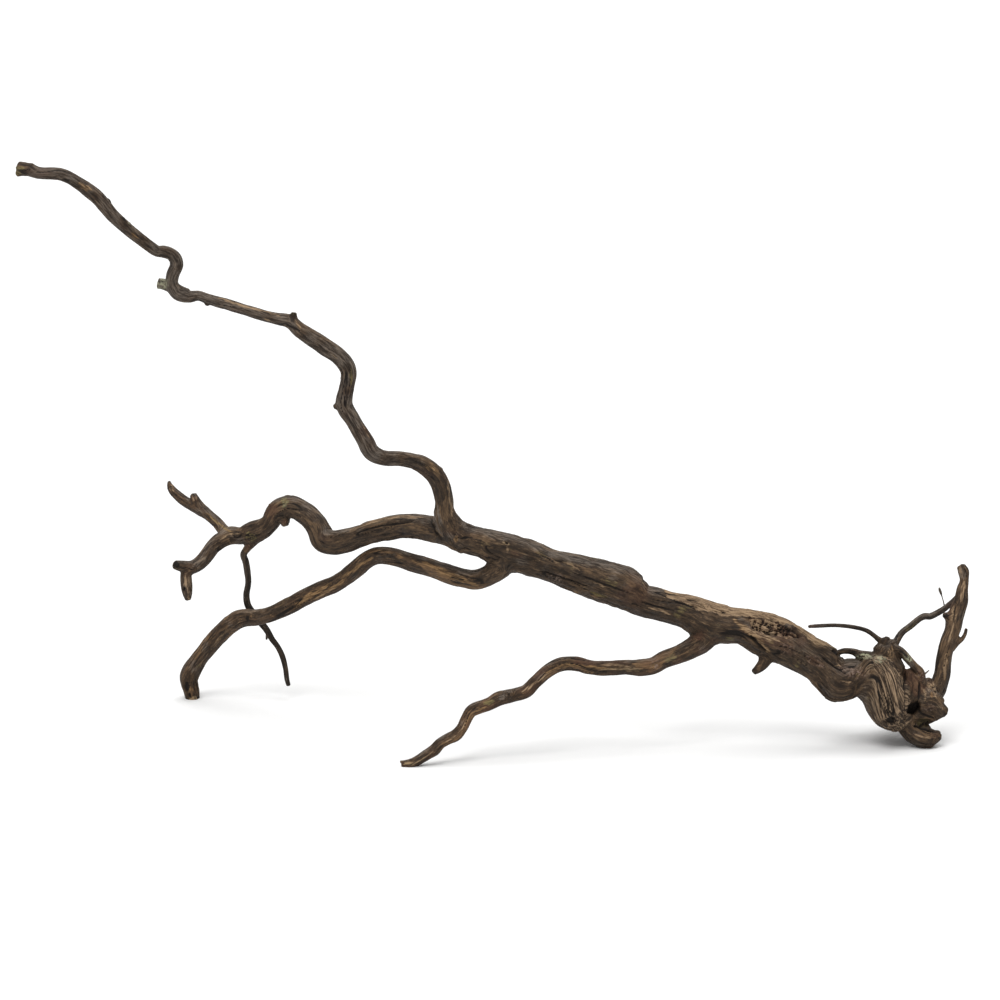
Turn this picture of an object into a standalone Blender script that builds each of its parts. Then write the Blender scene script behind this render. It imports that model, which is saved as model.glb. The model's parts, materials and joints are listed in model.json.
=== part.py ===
"""Spider wood: one gnarled, branching piece of dead azalea root that stands on three feet.

Every limb is a row of stations in millimetres, as seen from the front by an eye that looks
slightly down: across (+ right), up, away (+ behind) and the radius there. sight_to_world turns
them into the object's own frame: +X right, +Y away, +Z up, the surface it stands on at Z = 0.
"""
import math

import bmesh
import bpy
from mathutils import Vector

MM = 0.001

# The eye that the stations are seen from
EYE_ELEVATION = math.radians(12.0)
EYE_DISTANCE = 2400.0

# Where the middle of the foot plane lies in that view, in millimetres
CENTRE_X = 2.15
CENTRE_Y = 18.23
FLOOR_Z = -145.4

# Clearance between two neighbouring solids, in millimetres
GAP = 0.3

# Distance between two rings along a limb, in millimetres
RING_STEP = 7.0

# Limbs: (across, up, away, radius)
TRUNK = [
    (-33.6, -18.0, 3, 5.4), (-25.2, -21.0, 1, 8.1), (-18.0, -23.5, 0, 9.2), (-10.5, -25.5, 0, 9.6),
    (-3.0, -28.2, -1, 10.6),
    (12.0, -32.8, -3, 11.0), (27.0, -38.0, -4, 10.0), (37.2, -41.0, -5, 10.3), (49.2, -44.9, -6, 11.3),
    (61.2, -48.6, -7, 11.7), (71.0, -52.2, -8, 11.7), (79.0, -55.8, -8, 10.9), (84.6, -59.6, -8, 9.2),
    (89.4, -61.3, -8, 8.9), (100.8, -64.0, -8, 9.1), (112.8, -66.8, -8, 10.2), (123.6, -71.9, -8, 11.4),
    (134.4, -74.7, -8, 10.9), (145.2, -75.9, -7, 10.7), (156.0, -79.6, -6, 12.5), (168.0, -84.2, -5, 13.2),
    (180.0, -91.2, -4, 11.9), (191.4, -99.0, -3, 11.5), (202.6, -108.2, -2, 13.2), (213.6, -106.6, -1, 11.3),
    (224.4, -110.6, 2, 12.2), (234.0, -117.0, 3, 14.0), (242.4, -121.8, 4, 13.0), (249.0, -127.0, 4, 9.0),
]
UPPER = [
    (-23.0, -23.0, 0, 7.6), (-30.2, -15.0, -4, 7.2), (-33.2, -7.4, -7, 5.9), (-33.4, -0.6, -9, 5.35),
    (-35.2, 7.8, -14, 5.2), (-38.9, 15.0, -19, 5.3), (-47.2, 21.7, -25, 4.9), (-58.7, 24.8, -31, 4.5),
    (-70.2, 25.5, -36, 4.8), (-77.0, 28.9, -38, 5.3), (-80.8, 35.6, -39, 5.3), (-88.2, 48.0, -41, 4.9),
    (-93.5, 57.2, -43, 5.3), (-92.2, 67.0, -46, 4.7), (-91.1, 77.6, -48, 4.8), (-96.6, 85.8, -50, 4.9),
    (-105.4, 91.9, -53, 4.9), (-119.6, 101.4, -58, 4.5), (-126.2, 106.9, -60, 4.1),
    (-134.4, 108.8, -61, 3.5), (-142.8, 110.9, -60, 3.3), (-162.0, 116.9, -57, 3.4),
    (-175.2, 120.7, -55, 3.5), (-180.8, 122.6, -54, 3.3), (-187.0, 122.2, -54, 4.0),
    (-193.4, 124.0, -55, 4.2), (-196.6, 129.8, -56, 3.9), (-196.0, 135.2, -58, 4.1),
    (-193.9, 140.6, -60, 4.2), (-194.6, 144.6, -62, 4.0), (-197.6, 147.6, -64, 3.6),
    (-201.9, 149.1, -66, 3.6), (-205.6, 149.4, -67, 3.3), (-209.9, 152.1, -70, 3.4),
    (-216.0, 156.7, -73, 3.4), (-223.2, 162.4, -76, 3.5), (-232.6, 171.0, -79, 3.8),
    (-242.0, 181.8, -82, 4.2), (-253.6, 190.3, -85, 3.9), (-263.2, 195.0, -87, 4.0),
    (-276.1, 196.0, -89, 3.9), (-284.4, 198.4, -90, 4.2), (-288.6, 199.4, -90.5, 3.9),
]
LEADER_STUB = [
    (-189.0, 124.0, -54, 3.2), (-196.5, 127.4, -53, 3.3), (-201.6, 129.4, -52, 3.2),
    (-205.0, 130.0, -51.5, 3.1),
]
UPPER_STUB = [(-93.0, 56.8, -43, 3.4), (-97.0, 56.4, -44, 2.4), (-99.4, 55.9, -44.5, 1.4)]
UPPER_THORN = [(-125.0, 107.0, -60, 3.0), (-123.9, 110.2, -61, 2.1), (-123.6, 112.4, -61.5, 1.6)]
MIDDLE = [
    (-21.5, -24.0, 2, 8.2), (-32.4, -19.3, 7, 8.0), (-42.0, -17.2, 13, 7.4), (-52.2, -15.7, 19, 7.0),
    (-62.0, -16.0, 25, 7.0), (-76.1, -18.8, 32, 6.8), (-85.6, -22.1, 37, 6.8), (-97.4, -25.4, 43, 7.7),
    (-105.0, -23.8, 48, 7.9), (-110.2, -14.7, 52, 7.4), (-117.0, -7.6, 56, 6.7), (-125.4, -4.1, 60, 6.7),
    (-133.0, -6.5, 65, 6.4), (-137.8, -13.6, 69, 5.5), (-142.4, -17.3, 72, 5.9), (-149.2, -20.0, 77, 6.1),
    (-155.3, -21.8, 81, 4.9), (-161.6, -22.0, 84, 5.0), (-167.4, -24.5, 82, 4.8), (-172.5, -28.6, 79, 4.3),
    (-178.2, -36.1, 75, 4.2), (-184.4, -40.3, 71, 4.1), (-190.5, -39.7, 67, 3.5), (-194.6, -38.9, 64, 2.8),
]
MIDDLE_SPUR = [
    (-186.4, -39.8, 70, 3.4), (-188.3, -45.1, 69, 3.5), (-188.1, -50.9, 68, 3.6),
    (-187.6, -56.0, 67, 3.0), (-187.2, -59.4, 66.5, 1.9),
]
MIDDLE_STUB = [(-130.0, -8.5, 62, 3.8), (-129.2, -12.4, 60, 3.3), (-129.0, -14.6, 59, 2.4)]
FORK = [
    (-159.0, -21.4, 84, 3.8), (-165.0, -19.0, 87, 3.5), (-170.1, -13.4, 92, 3.2), (-175.0, -9.0, 96, 3.1),
    (-180.3, -5.3, 100, 3.6), (-188.2, -1.2, 104, 3.0), (-194.1, 3.4, 107, 2.7), (-197.6, 7.6, 109, 2.1),
    (-198.6, 11.0, 110, 1.0),
]
FORK_STUB = [(-180.0, -4.6, 100, 2.9), (-182.8, 0.4, 101, 2.5), (-184.0, 2.9, 102, 2.1)]
HANGING = [
    (-143.4, -18.4, 75, 4.4), (-148.6, -25.0, 77.5, 3.2), (-152.0, -29.6, 79, 2.2), (-153.8, -32.8, 80, 2.1),
    (-152.6, -37.1, 82, 2.0), (-151.6, -43.4, 85, 1.9), (-151.1, -49.7, 88, 1.8), (-152.2, -56.6, 93, 1.9),
    (-151.6, -62.4, 97, 2.0), (-149.2, -66.6, 100, 2.0), (-145.2, -71.8, 102, 2.0), (-140.4, -77.4, 104, 1.9),
    (-136.8, -83.4, 106, 1.8), (-133.4, -88.0, 107, 1.7), (-130.5, -94.0, 108, 1.7),
    (-128.7, -100.8, 109, 1.6), (-127.9, -107.0, 110, 1.6), (-126.9, -111.0, 110, 1.4),
]
LOWER = [
    (7.0, -33.0, -1, 8.6), (-0.6, -40.6, 1, 7.3), (-6.8, -45.2, 4, 6.0), (-14.4, -47.7, 7, 5.7),
    (-22.2, -46.8, 10, 5.4), (-32.2, -43.8, 14, 5.4), (-42.1, -40.4, 21, 5.4), (-52.2, -37.5, 28, 5.4),
    (-62.0, -34.3, 33, 5.4), (-68.4, -33.2, 36, 5.5), (-74.2, -33.4, 39, 5.5), (-80.7, -36.6, 43, 5.5),
    (-88.2, -42.8, 49, 5.4), (-97.0, -49.3, 56, 5.2), (-106.7, -53.5, 63, 5.0), (-116.2, -58.1, 70, 4.8),
    (-125.8, -63.3, 75, 4.8), (-135.5, -67.9, 80, 4.4), (-145.0, -70.5, 86, 4.6), (-154.5, -71.2, 91, 5.3),
    (-161.6, -74.8, 96, 5.6), (-169.2, -81.7, 102, 5.6), (-175.8, -89.2, 106, 5.4), (-182.5, -97.8, 109, 5.5),
    (-186.9, -106.8, 112, 5.9), (-185.4, -114.4, 113, 5.4), (-184.8, -119.8, 113.6, 4.8),
]
FRONT = [
    (128.0, -76.0, -8, 9.8), (121.6, -84.8, -9, 7.1), (113.4, -89.8, -10, 5.7), (105.6, -93.3, -12, 5.2),
    (98.3, -95.9, -14, 4.9), (92.2, -99.2, -16, 4.9), (85.2, -100.3, -17, 5.0), (75.3, -100.2, -19, 4.4),
    (67.2, -100.8, -20, 4.5), (55.2, -100.4, -22, 4.5), (45.4, -98.1, -23, 4.5), (37.4, -98.2, -25, 4.5),
    (29.2, -102.0, -27, 4.4), (21.2, -109.1, -29, 4.2), (15.6, -114.6, -30, 4.2), (7.6, -117.2, -31, 4.0),
    (-0.4, -119.2, -32, 4.2), (-6.3, -122.3, -33, 3.9), (-13.8, -125.0, -34, 3.8),
    (-17.4, -127.2, -34.5, 3.5), (-20.2, -132.0, -35, 3.3), (-22.5, -136.8, -36, 3.3),
    (-26.3, -141.2, -36.5, 3.5),
    (-31.8, -143.9, -37, 3.2), (-36.0, -146.5, -38, 3.2), (-39.4, -150.2, -38.5, 3.4),
    (-44.6, -153.4, -39, 3.1), (-49.2, -156.3, -40, 2.9), (-54.0, -158.6, -40, 2.9),
    (-58.4, -159.2, -40, 2.0),
]
UPRIGHT = [
    (256.0, -122.0, 12, 7.0), (262.4, -113.4, 14, 5.8), (265.2, -105.6, 15, 5.0), (266.0, -99.0, 16, 4.6),
    (266.8, -93.0, 17, 4.4), (269.0, -85.2, 18, 4.6), (271.6, -78.6, 19, 4.6), (272.9, -72.0, 20, 4.7),
    (275.1, -65.4, 21, 4.5), (276.9, -60.0, 22, 4.0), (277.5, -53.4, 23, 3.3), (278.5, -48.3, 24, 2.7),
    (278.0, -43.0, 25, 3.4), (276.8, -40.0, 25.4, 2.8),
]
UPRIGHT_STUB = [(271.4, -71.0, 20, 3.2), (268.4, -69.8, 20, 2.3), (266.4, -68.9, 20, 1.6)]
UPRIGHT_TWIG = [
    (271.5, -88.0, 18, 2.4), (274.7, -85.4, 18, 1.7), (277.3, -83.3, 18, 1.4), (279.1, -80.2, 18, 1.15),
    (279.7, -77.4, 18, 0.95),
]
LEFT_ROOTLET = [
    (233.5, -89.0, 0, 3.6), (227.6, -84.0, -2, 1.8), (220.2, -78.5, -6, 1.4), (211.8, -76.2, -10, 1.3),
    (201.6, -75.2, -14, 1.2), (192.0, -75.5, -18, 1.2), (185.4, -75.9, -20, 1.0),
]
RIGHT_ROOTLET = [
    (234.5, -90.0, 4, 3.8), (237.8, -84.6, 8, 2.3), (241.3, -79.5, 11, 2.0), (246.2, -75.7, 14, 2.0),
    (251.7, -71.2, 18, 1.9), (254.7, -69.8, 20, 2.0), (258.2, -69.7, 23, 2.0), (261.8, -68.1, 26, 1.9),
    (265.4, -66.0, 29, 1.9), (268.7, -63.6, 31, 1.8), (271.6, -61.0, 33, 1.7), (274.0, -58.2, 34, 1.4),
]

# Lumps of the root crown and the forms that grow on the trunk itself
SWIRL = [
    (222.5, -98.0, -3, 6.6), (226.5, -103.0, -6, 11.0), (230.5, -116.0, -7, 12.6),
    (234.2, -127.2, -6, 11.4), (240.0, -134.3, -4, 6.6),
]
BACK_LUMP = [
    (215.0, -104.0, 4, 5.0), (222.5, -104.5, 9, 9.4), (231.0, -112.0, 15, 12.0), (242.0, -121.0, 15, 11.0),
    (250.0, -129.0, 12, 7.0),
]
KNOB = [
    (234.0, -103.0, -1, 9.5), (232.2, -96.0, -1, 8.5), (231.5, -90.6, -1, 7.6), (232.8, -87.3, -1, 5.3),
    (231.6, -85.1, -1, 3.5), (231.2, -83.5, -1, 2.7),
]
RED_LUMP = [
    (244.5, -102.0, 2, 5.4), (247.5, -112.0, 0, 7.0), (250.0, -122.0, 1, 7.8), (250.0, -129.0, 2, 7.4),
]
NOSE = [
    (247.0, -122.0, 2, 9.0), (253.6, -121.8, 1, 9.6), (258.4, -122.0, 0, 7.6), (263.2, -126.0, 0, 6.0),
    (267.0, -127.4, 0, 3.2),
]
CHIN = [(248.0, -128.0, 1, 6.8), (255.0, -129.4, 0, 5.8), (260.6, -128.8, 0, 4.1), (264.0, -127.8, 0, 2.7)]
NOSE_PEAK = [(256.0, -122.0, 2, 6.5), (257.0, -113.0, 3, 4.8), (257.0, -107.8, 4, 2.8)]
JAW = [
    (236.0, -126.0, 0, 9.4), (241.8, -133.1, 0, 6.4), (249.2, -139.7, 0, 6.9), (256.4, -142.6, 0, 6.8),
    (261.0, -142.0, 0, 4.2), (263.4, -141.2, 0, 3.0),
]
HEEL = [(240.0, -128.0, 10, 8.0), (248.0, -134.0, 16, 7.0), (254.0, -140.0, 20, 5.5)]
BACK_ROOT = [
    (230.0, -110.0, 12, 9.0), (236.0, -114.0, 24, 7.4), (240.0, -117.6, 31, 6.0), (245.0, -118.6, 38, 5.2),
    (247.4, -121.0, 42, 3.4),
]
SPIKE = [
    (160.0, -84.0, -9, 7.6), (160.0, -92.8, -9, 4.9), (158.2, -97.8, -10, 3.5), (155.2, -101.1, -10.5, 2.7),
    (152.4, -103.2, -11, 1.9),
]
SHORT_ROOTLET = [
    (236.0, -89.0, -2, 3.4), (240.4, -90.8, -4, 2.6), (244.4, -95.0, -5, 2.5), (248.6, -99.6, -5, 2.5),
    (251.6, -103.4, -3, 3.2), (252.0, -110.0, -1, 4.0),
]
BRIDGE_ROOTLET = [
    (197.6, -97.0, 1, 1.8), (201.0, -92.8, -2, 1.6), (206.2, -90.7, -3.5, 1.8), (211.8, -91.0, -3, 2.0),
    (216.4, -92.9, -3, 2.9), (222.0, -94.0, -2, 3.4),
]

# Where a limb becomes a node of its own: millimetres along its line, measured from its first station
UPPER_FROM = 27.0
MIDDLE_FROM = 30.0
FORK_FROM = 12.0
HANGING_FROM = 17.0
LOWER_FROM = 22.0
FRONT_FROM = 23.0
UPRIGHT_FROM = 19.0
LEFT_ROOTLET_FROM = 9.0
RIGHT_ROOTLET_FROM = 10.0

# Lobes of the cross-section: (share of the radius, lobes around, angle, turns in radians per mm)
TRUNK_LOBES = [(0.075, 2, 0.6, 0.020), (0.050, 3, 2.1, -0.013), (0.030, 5, 0.3, 0.031)]
LIMB_LOBES = [(0.065, 2, 1.1, 0.045), (0.045, 3, 0.2, -0.030)]
PLAIN = []

WOOD = {
    "trunk": (0.110, 0.076, 0.052),
    "upper_branch": (0.095, 0.070, 0.052),
    "middle_branch": (0.120, 0.082, 0.052),
    "middle_fork": (0.120, 0.078, 0.048),
    "hanging_twig": (0.060, 0.046, 0.038),
    "lower_branch": (0.125, 0.080, 0.046),
    "front_branch": (0.130, 0.088, 0.055),
    "upright_branch": (0.115, 0.078, 0.050),
    "left_rootlet": (0.070, 0.062, 0.055),
    "right_rootlet": (0.085, 0.066, 0.054),
}


def sight_to_world(across, up, away):
    """A place as the eye sees it, in millimetres, turned into the object's frame in metres."""
    spread = 1.0 + away / EYE_DISTANCE
    x = across * spread
    rise = up * spread
    y = away * math.cos(EYE_ELEVATION) + rise * math.sin(EYE_ELEVATION)
    z = rise * math.cos(EYE_ELEVATION) - away * math.sin(EYE_ELEVATION)
    return Vector((x - CENTRE_X, y - CENTRE_Y, z - FLOOR_Z)) * MM


def knots_of(stations):
    """World positions with radii, in millimetres, and the length along the limb at each station."""
    points = []
    for across, up, away, radius in stations:
        place = sight_to_world(across, up, away) / MM
        points.append((place, radius * (1.0 + away / EYE_DISTANCE)))
    lengths = [0.0]
    for (a, _), (b, _) in zip(points, points[1:]):
        lengths.append(lengths[-1] + (b - a).length)
    return points, lengths


def along(stations, length):
    """Centre, radius and direction of a limb at a length along it, on a smooth curve."""
    points, lengths = knots_of(stations)
    length = min(max(length, 0.0), lengths[-1])
    index = 0
    while index < len(lengths) - 2 and lengths[index + 1] < length:
        index += 1
    span = lengths[index + 1] - lengths[index]
    t = (length - lengths[index]) / span

    def slope(k):
        low = max(k - 1, 0)
        high = min(k + 1, len(points) - 1)
        run = lengths[high] - lengths[low]
        return (points[high][0] - points[low][0]) / run, (points[high][1] - points[low][1]) / run

    (p0, r0), (p1, r1) = points[index], points[index + 1]
    (m0, n0), (m1, n1) = slope(index), slope(index + 1)
    h00 = 2 * t**3 - 3 * t**2 + 1
    h10 = (t**3 - 2 * t**2 + t) * span
    h01 = 3 * t**2 - 2 * t**3
    h11 = (t**3 - t**2) * span
    centre = p0 * h00 + m0 * h10 + p1 * h01 + m1 * h11
    radius = r0 * h00 + n0 * h10 + r1 * h01 + n1 * h11
    d00 = (6 * t**2 - 6 * t) / span
    d10 = 3 * t**2 - 4 * t + 1
    d11 = 3 * t**2 - 2 * t
    direction = (p0 * d00 + m0 * d10 - p1 * d00 + m1 * d11).normalized()
    return centre, max(radius, 0.4), direction


def total(stations):
    return knots_of(stations)[1][-1]


def ring(mesh, centre, radius, direction, sides, lobes, length):
    """One cross-section, square to the limb, whose first point faces the front."""
    front = Vector((0.0, -1.0, 0.0))
    first = (front - direction * front.dot(direction)).normalized()
    second = direction.cross(first)
    corners = []
    for k in range(sides):
        angle = 2.0 * math.pi * k / sides
        swell = 1.0
        for share, count, start, turn in lobes:
            swell += share * math.cos(count * angle + start + turn * length)
        offset = first * math.cos(angle) + second * math.sin(angle)
        corners.append(mesh.verts.new((centre + offset * radius * swell) * MM))
    return corners


def skin(mesh, lower, upper):
    count = len(lower)
    for k in range(count):
        n = (k + 1) % count
        mesh.faces.new((lower[k], lower[n], upper[n], upper[k]))


def limb(stations, begin=0.0, end=None, sides=10, lobes=LIMB_LOBES, blunt=False, step=RING_STEP):
    """A closed body along the stations. Its first end is flat. Its last end is flat or rounded."""
    mesh = bmesh.new()
    far = total(stations) if end is None else end
    count = max(2, round((far - begin) / step))
    previous = None
    first_ring = None
    for k in range(count + 1):
        length = begin + (far - begin) * k / count
        centre, radius, direction = along(stations, length)
        current = ring(mesh, centre, radius, direction, sides, lobes, length)
        if previous is None:
            first_ring = current
        else:
            skin(mesh, previous, current)
        previous = current
    mesh.faces.new(list(reversed(first_ring)))
    if blunt:
        mesh.faces.new(previous)
    else:
        tip = ring(mesh, centre + direction * radius * 0.45, radius * 0.68, direction, sides, lobes, far)
        skin(mesh, previous, tip)
        mesh.faces.new(tip)
    bmesh.ops.recalc_face_normals(mesh, faces=mesh.faces)
    return mesh


def rootlet(stations, begin=0.0, end=None, blunt=True):
    """A thin root with a plain round section."""
    return limb(stations, begin, end, sides=8, lobes=PLAIN, blunt=blunt, step=4.5)


def stand(mesh):
    """Cut a body flat where it rests on the surface."""
    geometry = mesh.verts[:] + mesh.edges[:] + mesh.faces[:]
    cut = bmesh.ops.bisect_plane(
        mesh, geom=geometry, dist=1e-7, plane_co=(0, 0, 0), plane_no=(0, 0, 1), clear_inner=True
    )
    rim = [item for item in cut["geom_cut"] if isinstance(item, bmesh.types.BMEdge)]
    if rim:
        bmesh.ops.contextual_create(mesh, geom=rim)
        bmesh.ops.recalc_face_normals(mesh, faces=mesh.faces)


def wood(name):
    material = bpy.data.materials.new(name)
    material.use_nodes = True
    shader = material.node_tree.nodes["Principled BSDF"]
    shader.inputs["Base Color"].default_value = (*WOOD[name], 1.0)
    shader.inputs["Roughness"].default_value = 0.85
    shader.inputs["Metallic"].default_value = 0.0
    return material


def place(name, mesh, guide=False):
    """Put a body in the scene. A guide is only there to be joined to another body."""
    data = bpy.data.meshes.new(name)
    mesh.to_mesh(data)
    mesh.free()
    body = bpy.data.objects.new(name, data)
    bpy.context.scene.collection.objects.link(body)
    if guide:
        body.hide_render = True
        body.display_type = "WIRE"
    else:
        data.materials.append(wood(name))
        data.shade_smooth()
        data.set_sharp_from_angle(angle=math.radians(50.0))
    return body


def unite(body, parts):
    for title, mesh in parts:
        guide = place(body.name + "_" + title, mesh, guide=True)
        union = body.modifiers.new(title, "BOOLEAN")
        union.operation = "UNION"
        union.solver = "EXACT"
        union.object = guide


def build_trunk():
    body = place("trunk", limb(TRUNK, sides=18, lobes=TRUNK_LOBES))
    jaw = limb(JAW, sides=12, step=5.0)
    stand(jaw)
    heel = limb(HEEL, step=6.0)
    stand(heel)
    unite(body, [
        ("upper", limb(UPPER, 0.0, UPPER_FROM - GAP, blunt=True, step=5.0)),
        ("middle", limb(MIDDLE, 0.0, MIDDLE_FROM - GAP, blunt=True, step=5.0)),
        ("lower", limb(LOWER, 0.0, LOWER_FROM - GAP, blunt=True, step=5.0)),
        ("front", limb(FRONT, 0.0, FRONT_FROM - GAP, blunt=True, step=5.0)),
        ("spike", limb(SPIKE, sides=8, step=5.0)),
        ("swirl", limb(SWIRL, sides=14, step=6.0)),
        ("back", limb(BACK_LUMP, sides=12, step=7.0)),
        ("knob", limb(KNOB, step=5.0)),
        ("red", limb(RED_LUMP, step=7.0)),
        ("nose", limb(NOSE, sides=12, step=5.0)),
        ("chin", limb(CHIN, step=5.0)),
        ("peak", limb(NOSE_PEAK, step=5.0)),
        ("jaw", jaw),
        ("heel", heel),
        ("back_root", limb(BACK_ROOT, step=5.0)),
        ("upright", limb(UPRIGHT, 0.0, UPRIGHT_FROM - GAP, blunt=True, step=5.0)),
        ("left_rootlet", rootlet(LEFT_ROOTLET, 0.0, LEFT_ROOTLET_FROM - GAP)),
        ("right_rootlet", rootlet(RIGHT_ROOTLET, 0.0, RIGHT_ROOTLET_FROM - GAP)),
        ("short_rootlet", rootlet(SHORT_ROOTLET)),
        ("bridge_rootlet", rootlet(BRIDGE_ROOTLET)),
    ])


def build_branches():
    upper = place("upper_branch", limb(UPPER, UPPER_FROM, step=6.5))
    unite(upper, [
        ("leader", limb(LEADER_STUB, sides=8, blunt=True, step=4.0)),
        ("stub", limb(UPPER_STUB, sides=8, step=3.0)),
        ("thorn", limb(UPPER_THORN, sides=8, step=3.0)),
    ])

    middle = place("middle_branch", limb(MIDDLE, MIDDLE_FROM, step=6.5))
    unite(middle, [
        ("spur", limb(MIDDLE_SPUR, sides=8, step=4.0)),
        ("stub", limb(MIDDLE_STUB, sides=8, step=3.0)),
        ("fork", limb(FORK, 0.0, FORK_FROM - GAP, blunt=True, step=4.0)),
        ("twig", limb(HANGING, 0.0, HANGING_FROM - GAP, sides=8, blunt=True, step=3.0)),
    ])

    fork = place("middle_fork", limb(FORK, FORK_FROM, step=5.0))
    unite(fork, [("stub", limb(FORK_STUB, sides=8, step=3.0))])

    place("hanging_twig", limb(HANGING, HANGING_FROM, sides=8, step=6.0))

    lower = limb(LOWER, LOWER_FROM, blunt=True)
    stand(lower)
    place("lower_branch", lower)

    front = limb(FRONT, FRONT_FROM, step=6.5)
    stand(front)
    place("front_branch", front)

    upright = place("upright_branch", limb(UPRIGHT, UPRIGHT_FROM, step=5.0))
    unite(upright, [
        ("stub", limb(UPRIGHT_STUB, sides=8, step=3.0)),
        ("twig", limb(UPRIGHT_TWIG, sides=8, lobes=PLAIN, step=3.0)),
    ])

    place("left_rootlet", rootlet(LEFT_ROOTLET, LEFT_ROOTLET_FROM, blunt=False))
    place("right_rootlet", rootlet(RIGHT_ROOTLET, RIGHT_ROOTLET_FROM, blunt=False))


for old in list(bpy.data.objects):
    bpy.data.objects.remove(old, do_unlink=True)
build_trunk()
build_branches()
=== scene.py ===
"""Spider wood: the looks of one gnarled, branching piece of dead azalea root.

The limbs follow the rows of stations of the solids, with a few small bumps added. They are skinned
finely, grown together into one skin, carved with grain, cracks, bark steps and knots along each
limb's own direction, and cut again into the pieces that stand for the solids.
"""

import json
import math
from itertools import product

import bpy
import numpy as np
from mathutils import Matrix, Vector

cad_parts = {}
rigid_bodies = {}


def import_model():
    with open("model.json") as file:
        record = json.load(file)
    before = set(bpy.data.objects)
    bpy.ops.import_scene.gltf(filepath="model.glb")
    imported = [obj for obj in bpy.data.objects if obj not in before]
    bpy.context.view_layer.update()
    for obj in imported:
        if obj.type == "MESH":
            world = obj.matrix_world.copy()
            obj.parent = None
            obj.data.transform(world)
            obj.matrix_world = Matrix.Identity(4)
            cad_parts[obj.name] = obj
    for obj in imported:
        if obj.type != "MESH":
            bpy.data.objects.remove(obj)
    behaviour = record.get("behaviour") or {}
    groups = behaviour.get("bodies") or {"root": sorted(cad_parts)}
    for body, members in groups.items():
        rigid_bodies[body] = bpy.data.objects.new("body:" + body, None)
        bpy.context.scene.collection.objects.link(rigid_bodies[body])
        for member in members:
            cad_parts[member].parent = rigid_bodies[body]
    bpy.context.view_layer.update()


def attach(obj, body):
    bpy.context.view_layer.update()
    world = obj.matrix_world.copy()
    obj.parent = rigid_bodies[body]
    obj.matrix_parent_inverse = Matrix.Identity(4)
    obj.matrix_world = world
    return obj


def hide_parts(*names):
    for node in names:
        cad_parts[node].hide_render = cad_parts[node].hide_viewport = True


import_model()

MM = 0.001

# The eye that the stations are seen from
EYE_ELEVATION = math.radians(12.0)
EYE_DISTANCE = 2400.0
SIGHT_WIDTH = 600.0
CENTRE_X = 2.15
CENTRE_Y = 18.23
FLOOR_Z = -145.4

# Spacing of the skin's points, of a limb's samples and of its rings, in millimetres
VOXEL = 0.70
SAMPLE_STEP = 0.8
RING_STEP = 1.6
RING_SIDES = 28
SLIVER_STEP = 0.5
SLIVER_SIDES = 9

# How far a limb's rounded end and its start reach beyond its stations, as shares of the radius
ROUND_END = 0.45
ROUND_START = 0.3

# Millimetres: further than any point is from a limb, and how far round a limb points are measured
FAR = 50.0
MARGIN = 7.0

# How many points are measured at a time
BLOCK = 20000

# Limbs: (across, up, away, radius)
TRUNK = [
    (-33.6, -18, 3, 5.4), (-25.2, -21, 1, 8.1), (-18, -23.5, 0, 9.2), (-10.5, -25.5, 0, 9.6),
    (-3, -28.2, -1, 10.6),
    (12, -32.8, -3, 11), (27, -38, -4, 10), (37.2, -41, -5, 10.3), (49.2, -44.9, -6, 11.3),
    (61.2, -48.6, -7, 11.7), (71, -52.2, -8, 11.7), (79, -55.8, -8, 10.9), (84.6, -59.6, -8, 9.2),
    (89.4, -61.3, -8, 8.9), (100.8, -64, -8, 9.1), (112.8, -66.8, -8, 10.2), (123.6, -71.9, -8, 11.4),
    (134.4, -74.7, -8, 10.9), (145.2, -75.9, -7, 10.7), (156, -79.6, -6, 12.5), (168, -84.2, -5, 13.2),
    (180, -91.2, -4, 11.9), (191.4, -99, -3, 11.5), (202.6, -108.2, -2, 13.2), (213.6, -106.6, -1, 11.3),
    (224.4, -110.6, 2, 12.2), (234, -117, 3, 14), (242.4, -121.8, 4, 13), (249, -127, 4, 9),
]
UPPER = [
    (-23, -23, 0, 7.6), (-30.2, -15, -4, 7.2), (-33.2, -7.4, -7, 5.9), (-33.4, -0.6, -9, 5.35),
    (-35.2, 7.8, -14, 5.2), (-38.9, 15, -19, 5.3), (-47.2, 21.7, -25, 4.9), (-58.7, 24.8, -31, 4.5),
    (-70.2, 25.5, -36, 4.8), (-77, 28.9, -38, 5.3), (-80.8, 35.6, -39, 5.3), (-88.2, 48, -41, 4.9),
    (-93.5, 57.2, -43, 5.3), (-92.2, 67, -46, 4.7), (-91.1, 77.6, -48, 4.8), (-96.6, 85.8, -50, 4.9),
    (-105.4, 91.9, -53, 4.9), (-119.6, 101.4, -58, 4.5), (-126.2, 106.9, -60, 4.1),
    (-134.4, 108.8, -61, 3.5), (-142.8, 110.9, -60, 3.3), (-162, 116.9, -57, 3.4),
    (-175.2, 120.7, -55, 3.5), (-180.8, 122.6, -54, 3.3), (-187, 122.2, -54, 4),
    (-193.4, 124, -55, 4.2), (-196.6, 129.8, -56, 3.9), (-196, 135.2, -58, 4.1),
    (-193.9, 140.6, -60, 4.2), (-194.6, 144.6, -62, 4), (-197.6, 147.6, -64, 3.6),
    (-201.9, 149.1, -66, 3.6), (-205.6, 149.4, -67, 3.3), (-209.9, 152.1, -70, 3.4),
    (-216, 156.7, -73, 3.4), (-223.2, 162.4, -76, 3.5), (-232.6, 171, -79, 3.8),
    (-242, 181.8, -82, 4.2), (-253.6, 190.3, -85, 3.9), (-263.2, 195, -87, 4),
    (-276.1, 196, -89, 3.9), (-284.4, 198.4, -90, 4.2), (-288.6, 199.4, -90.5, 3.9),
]
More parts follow.
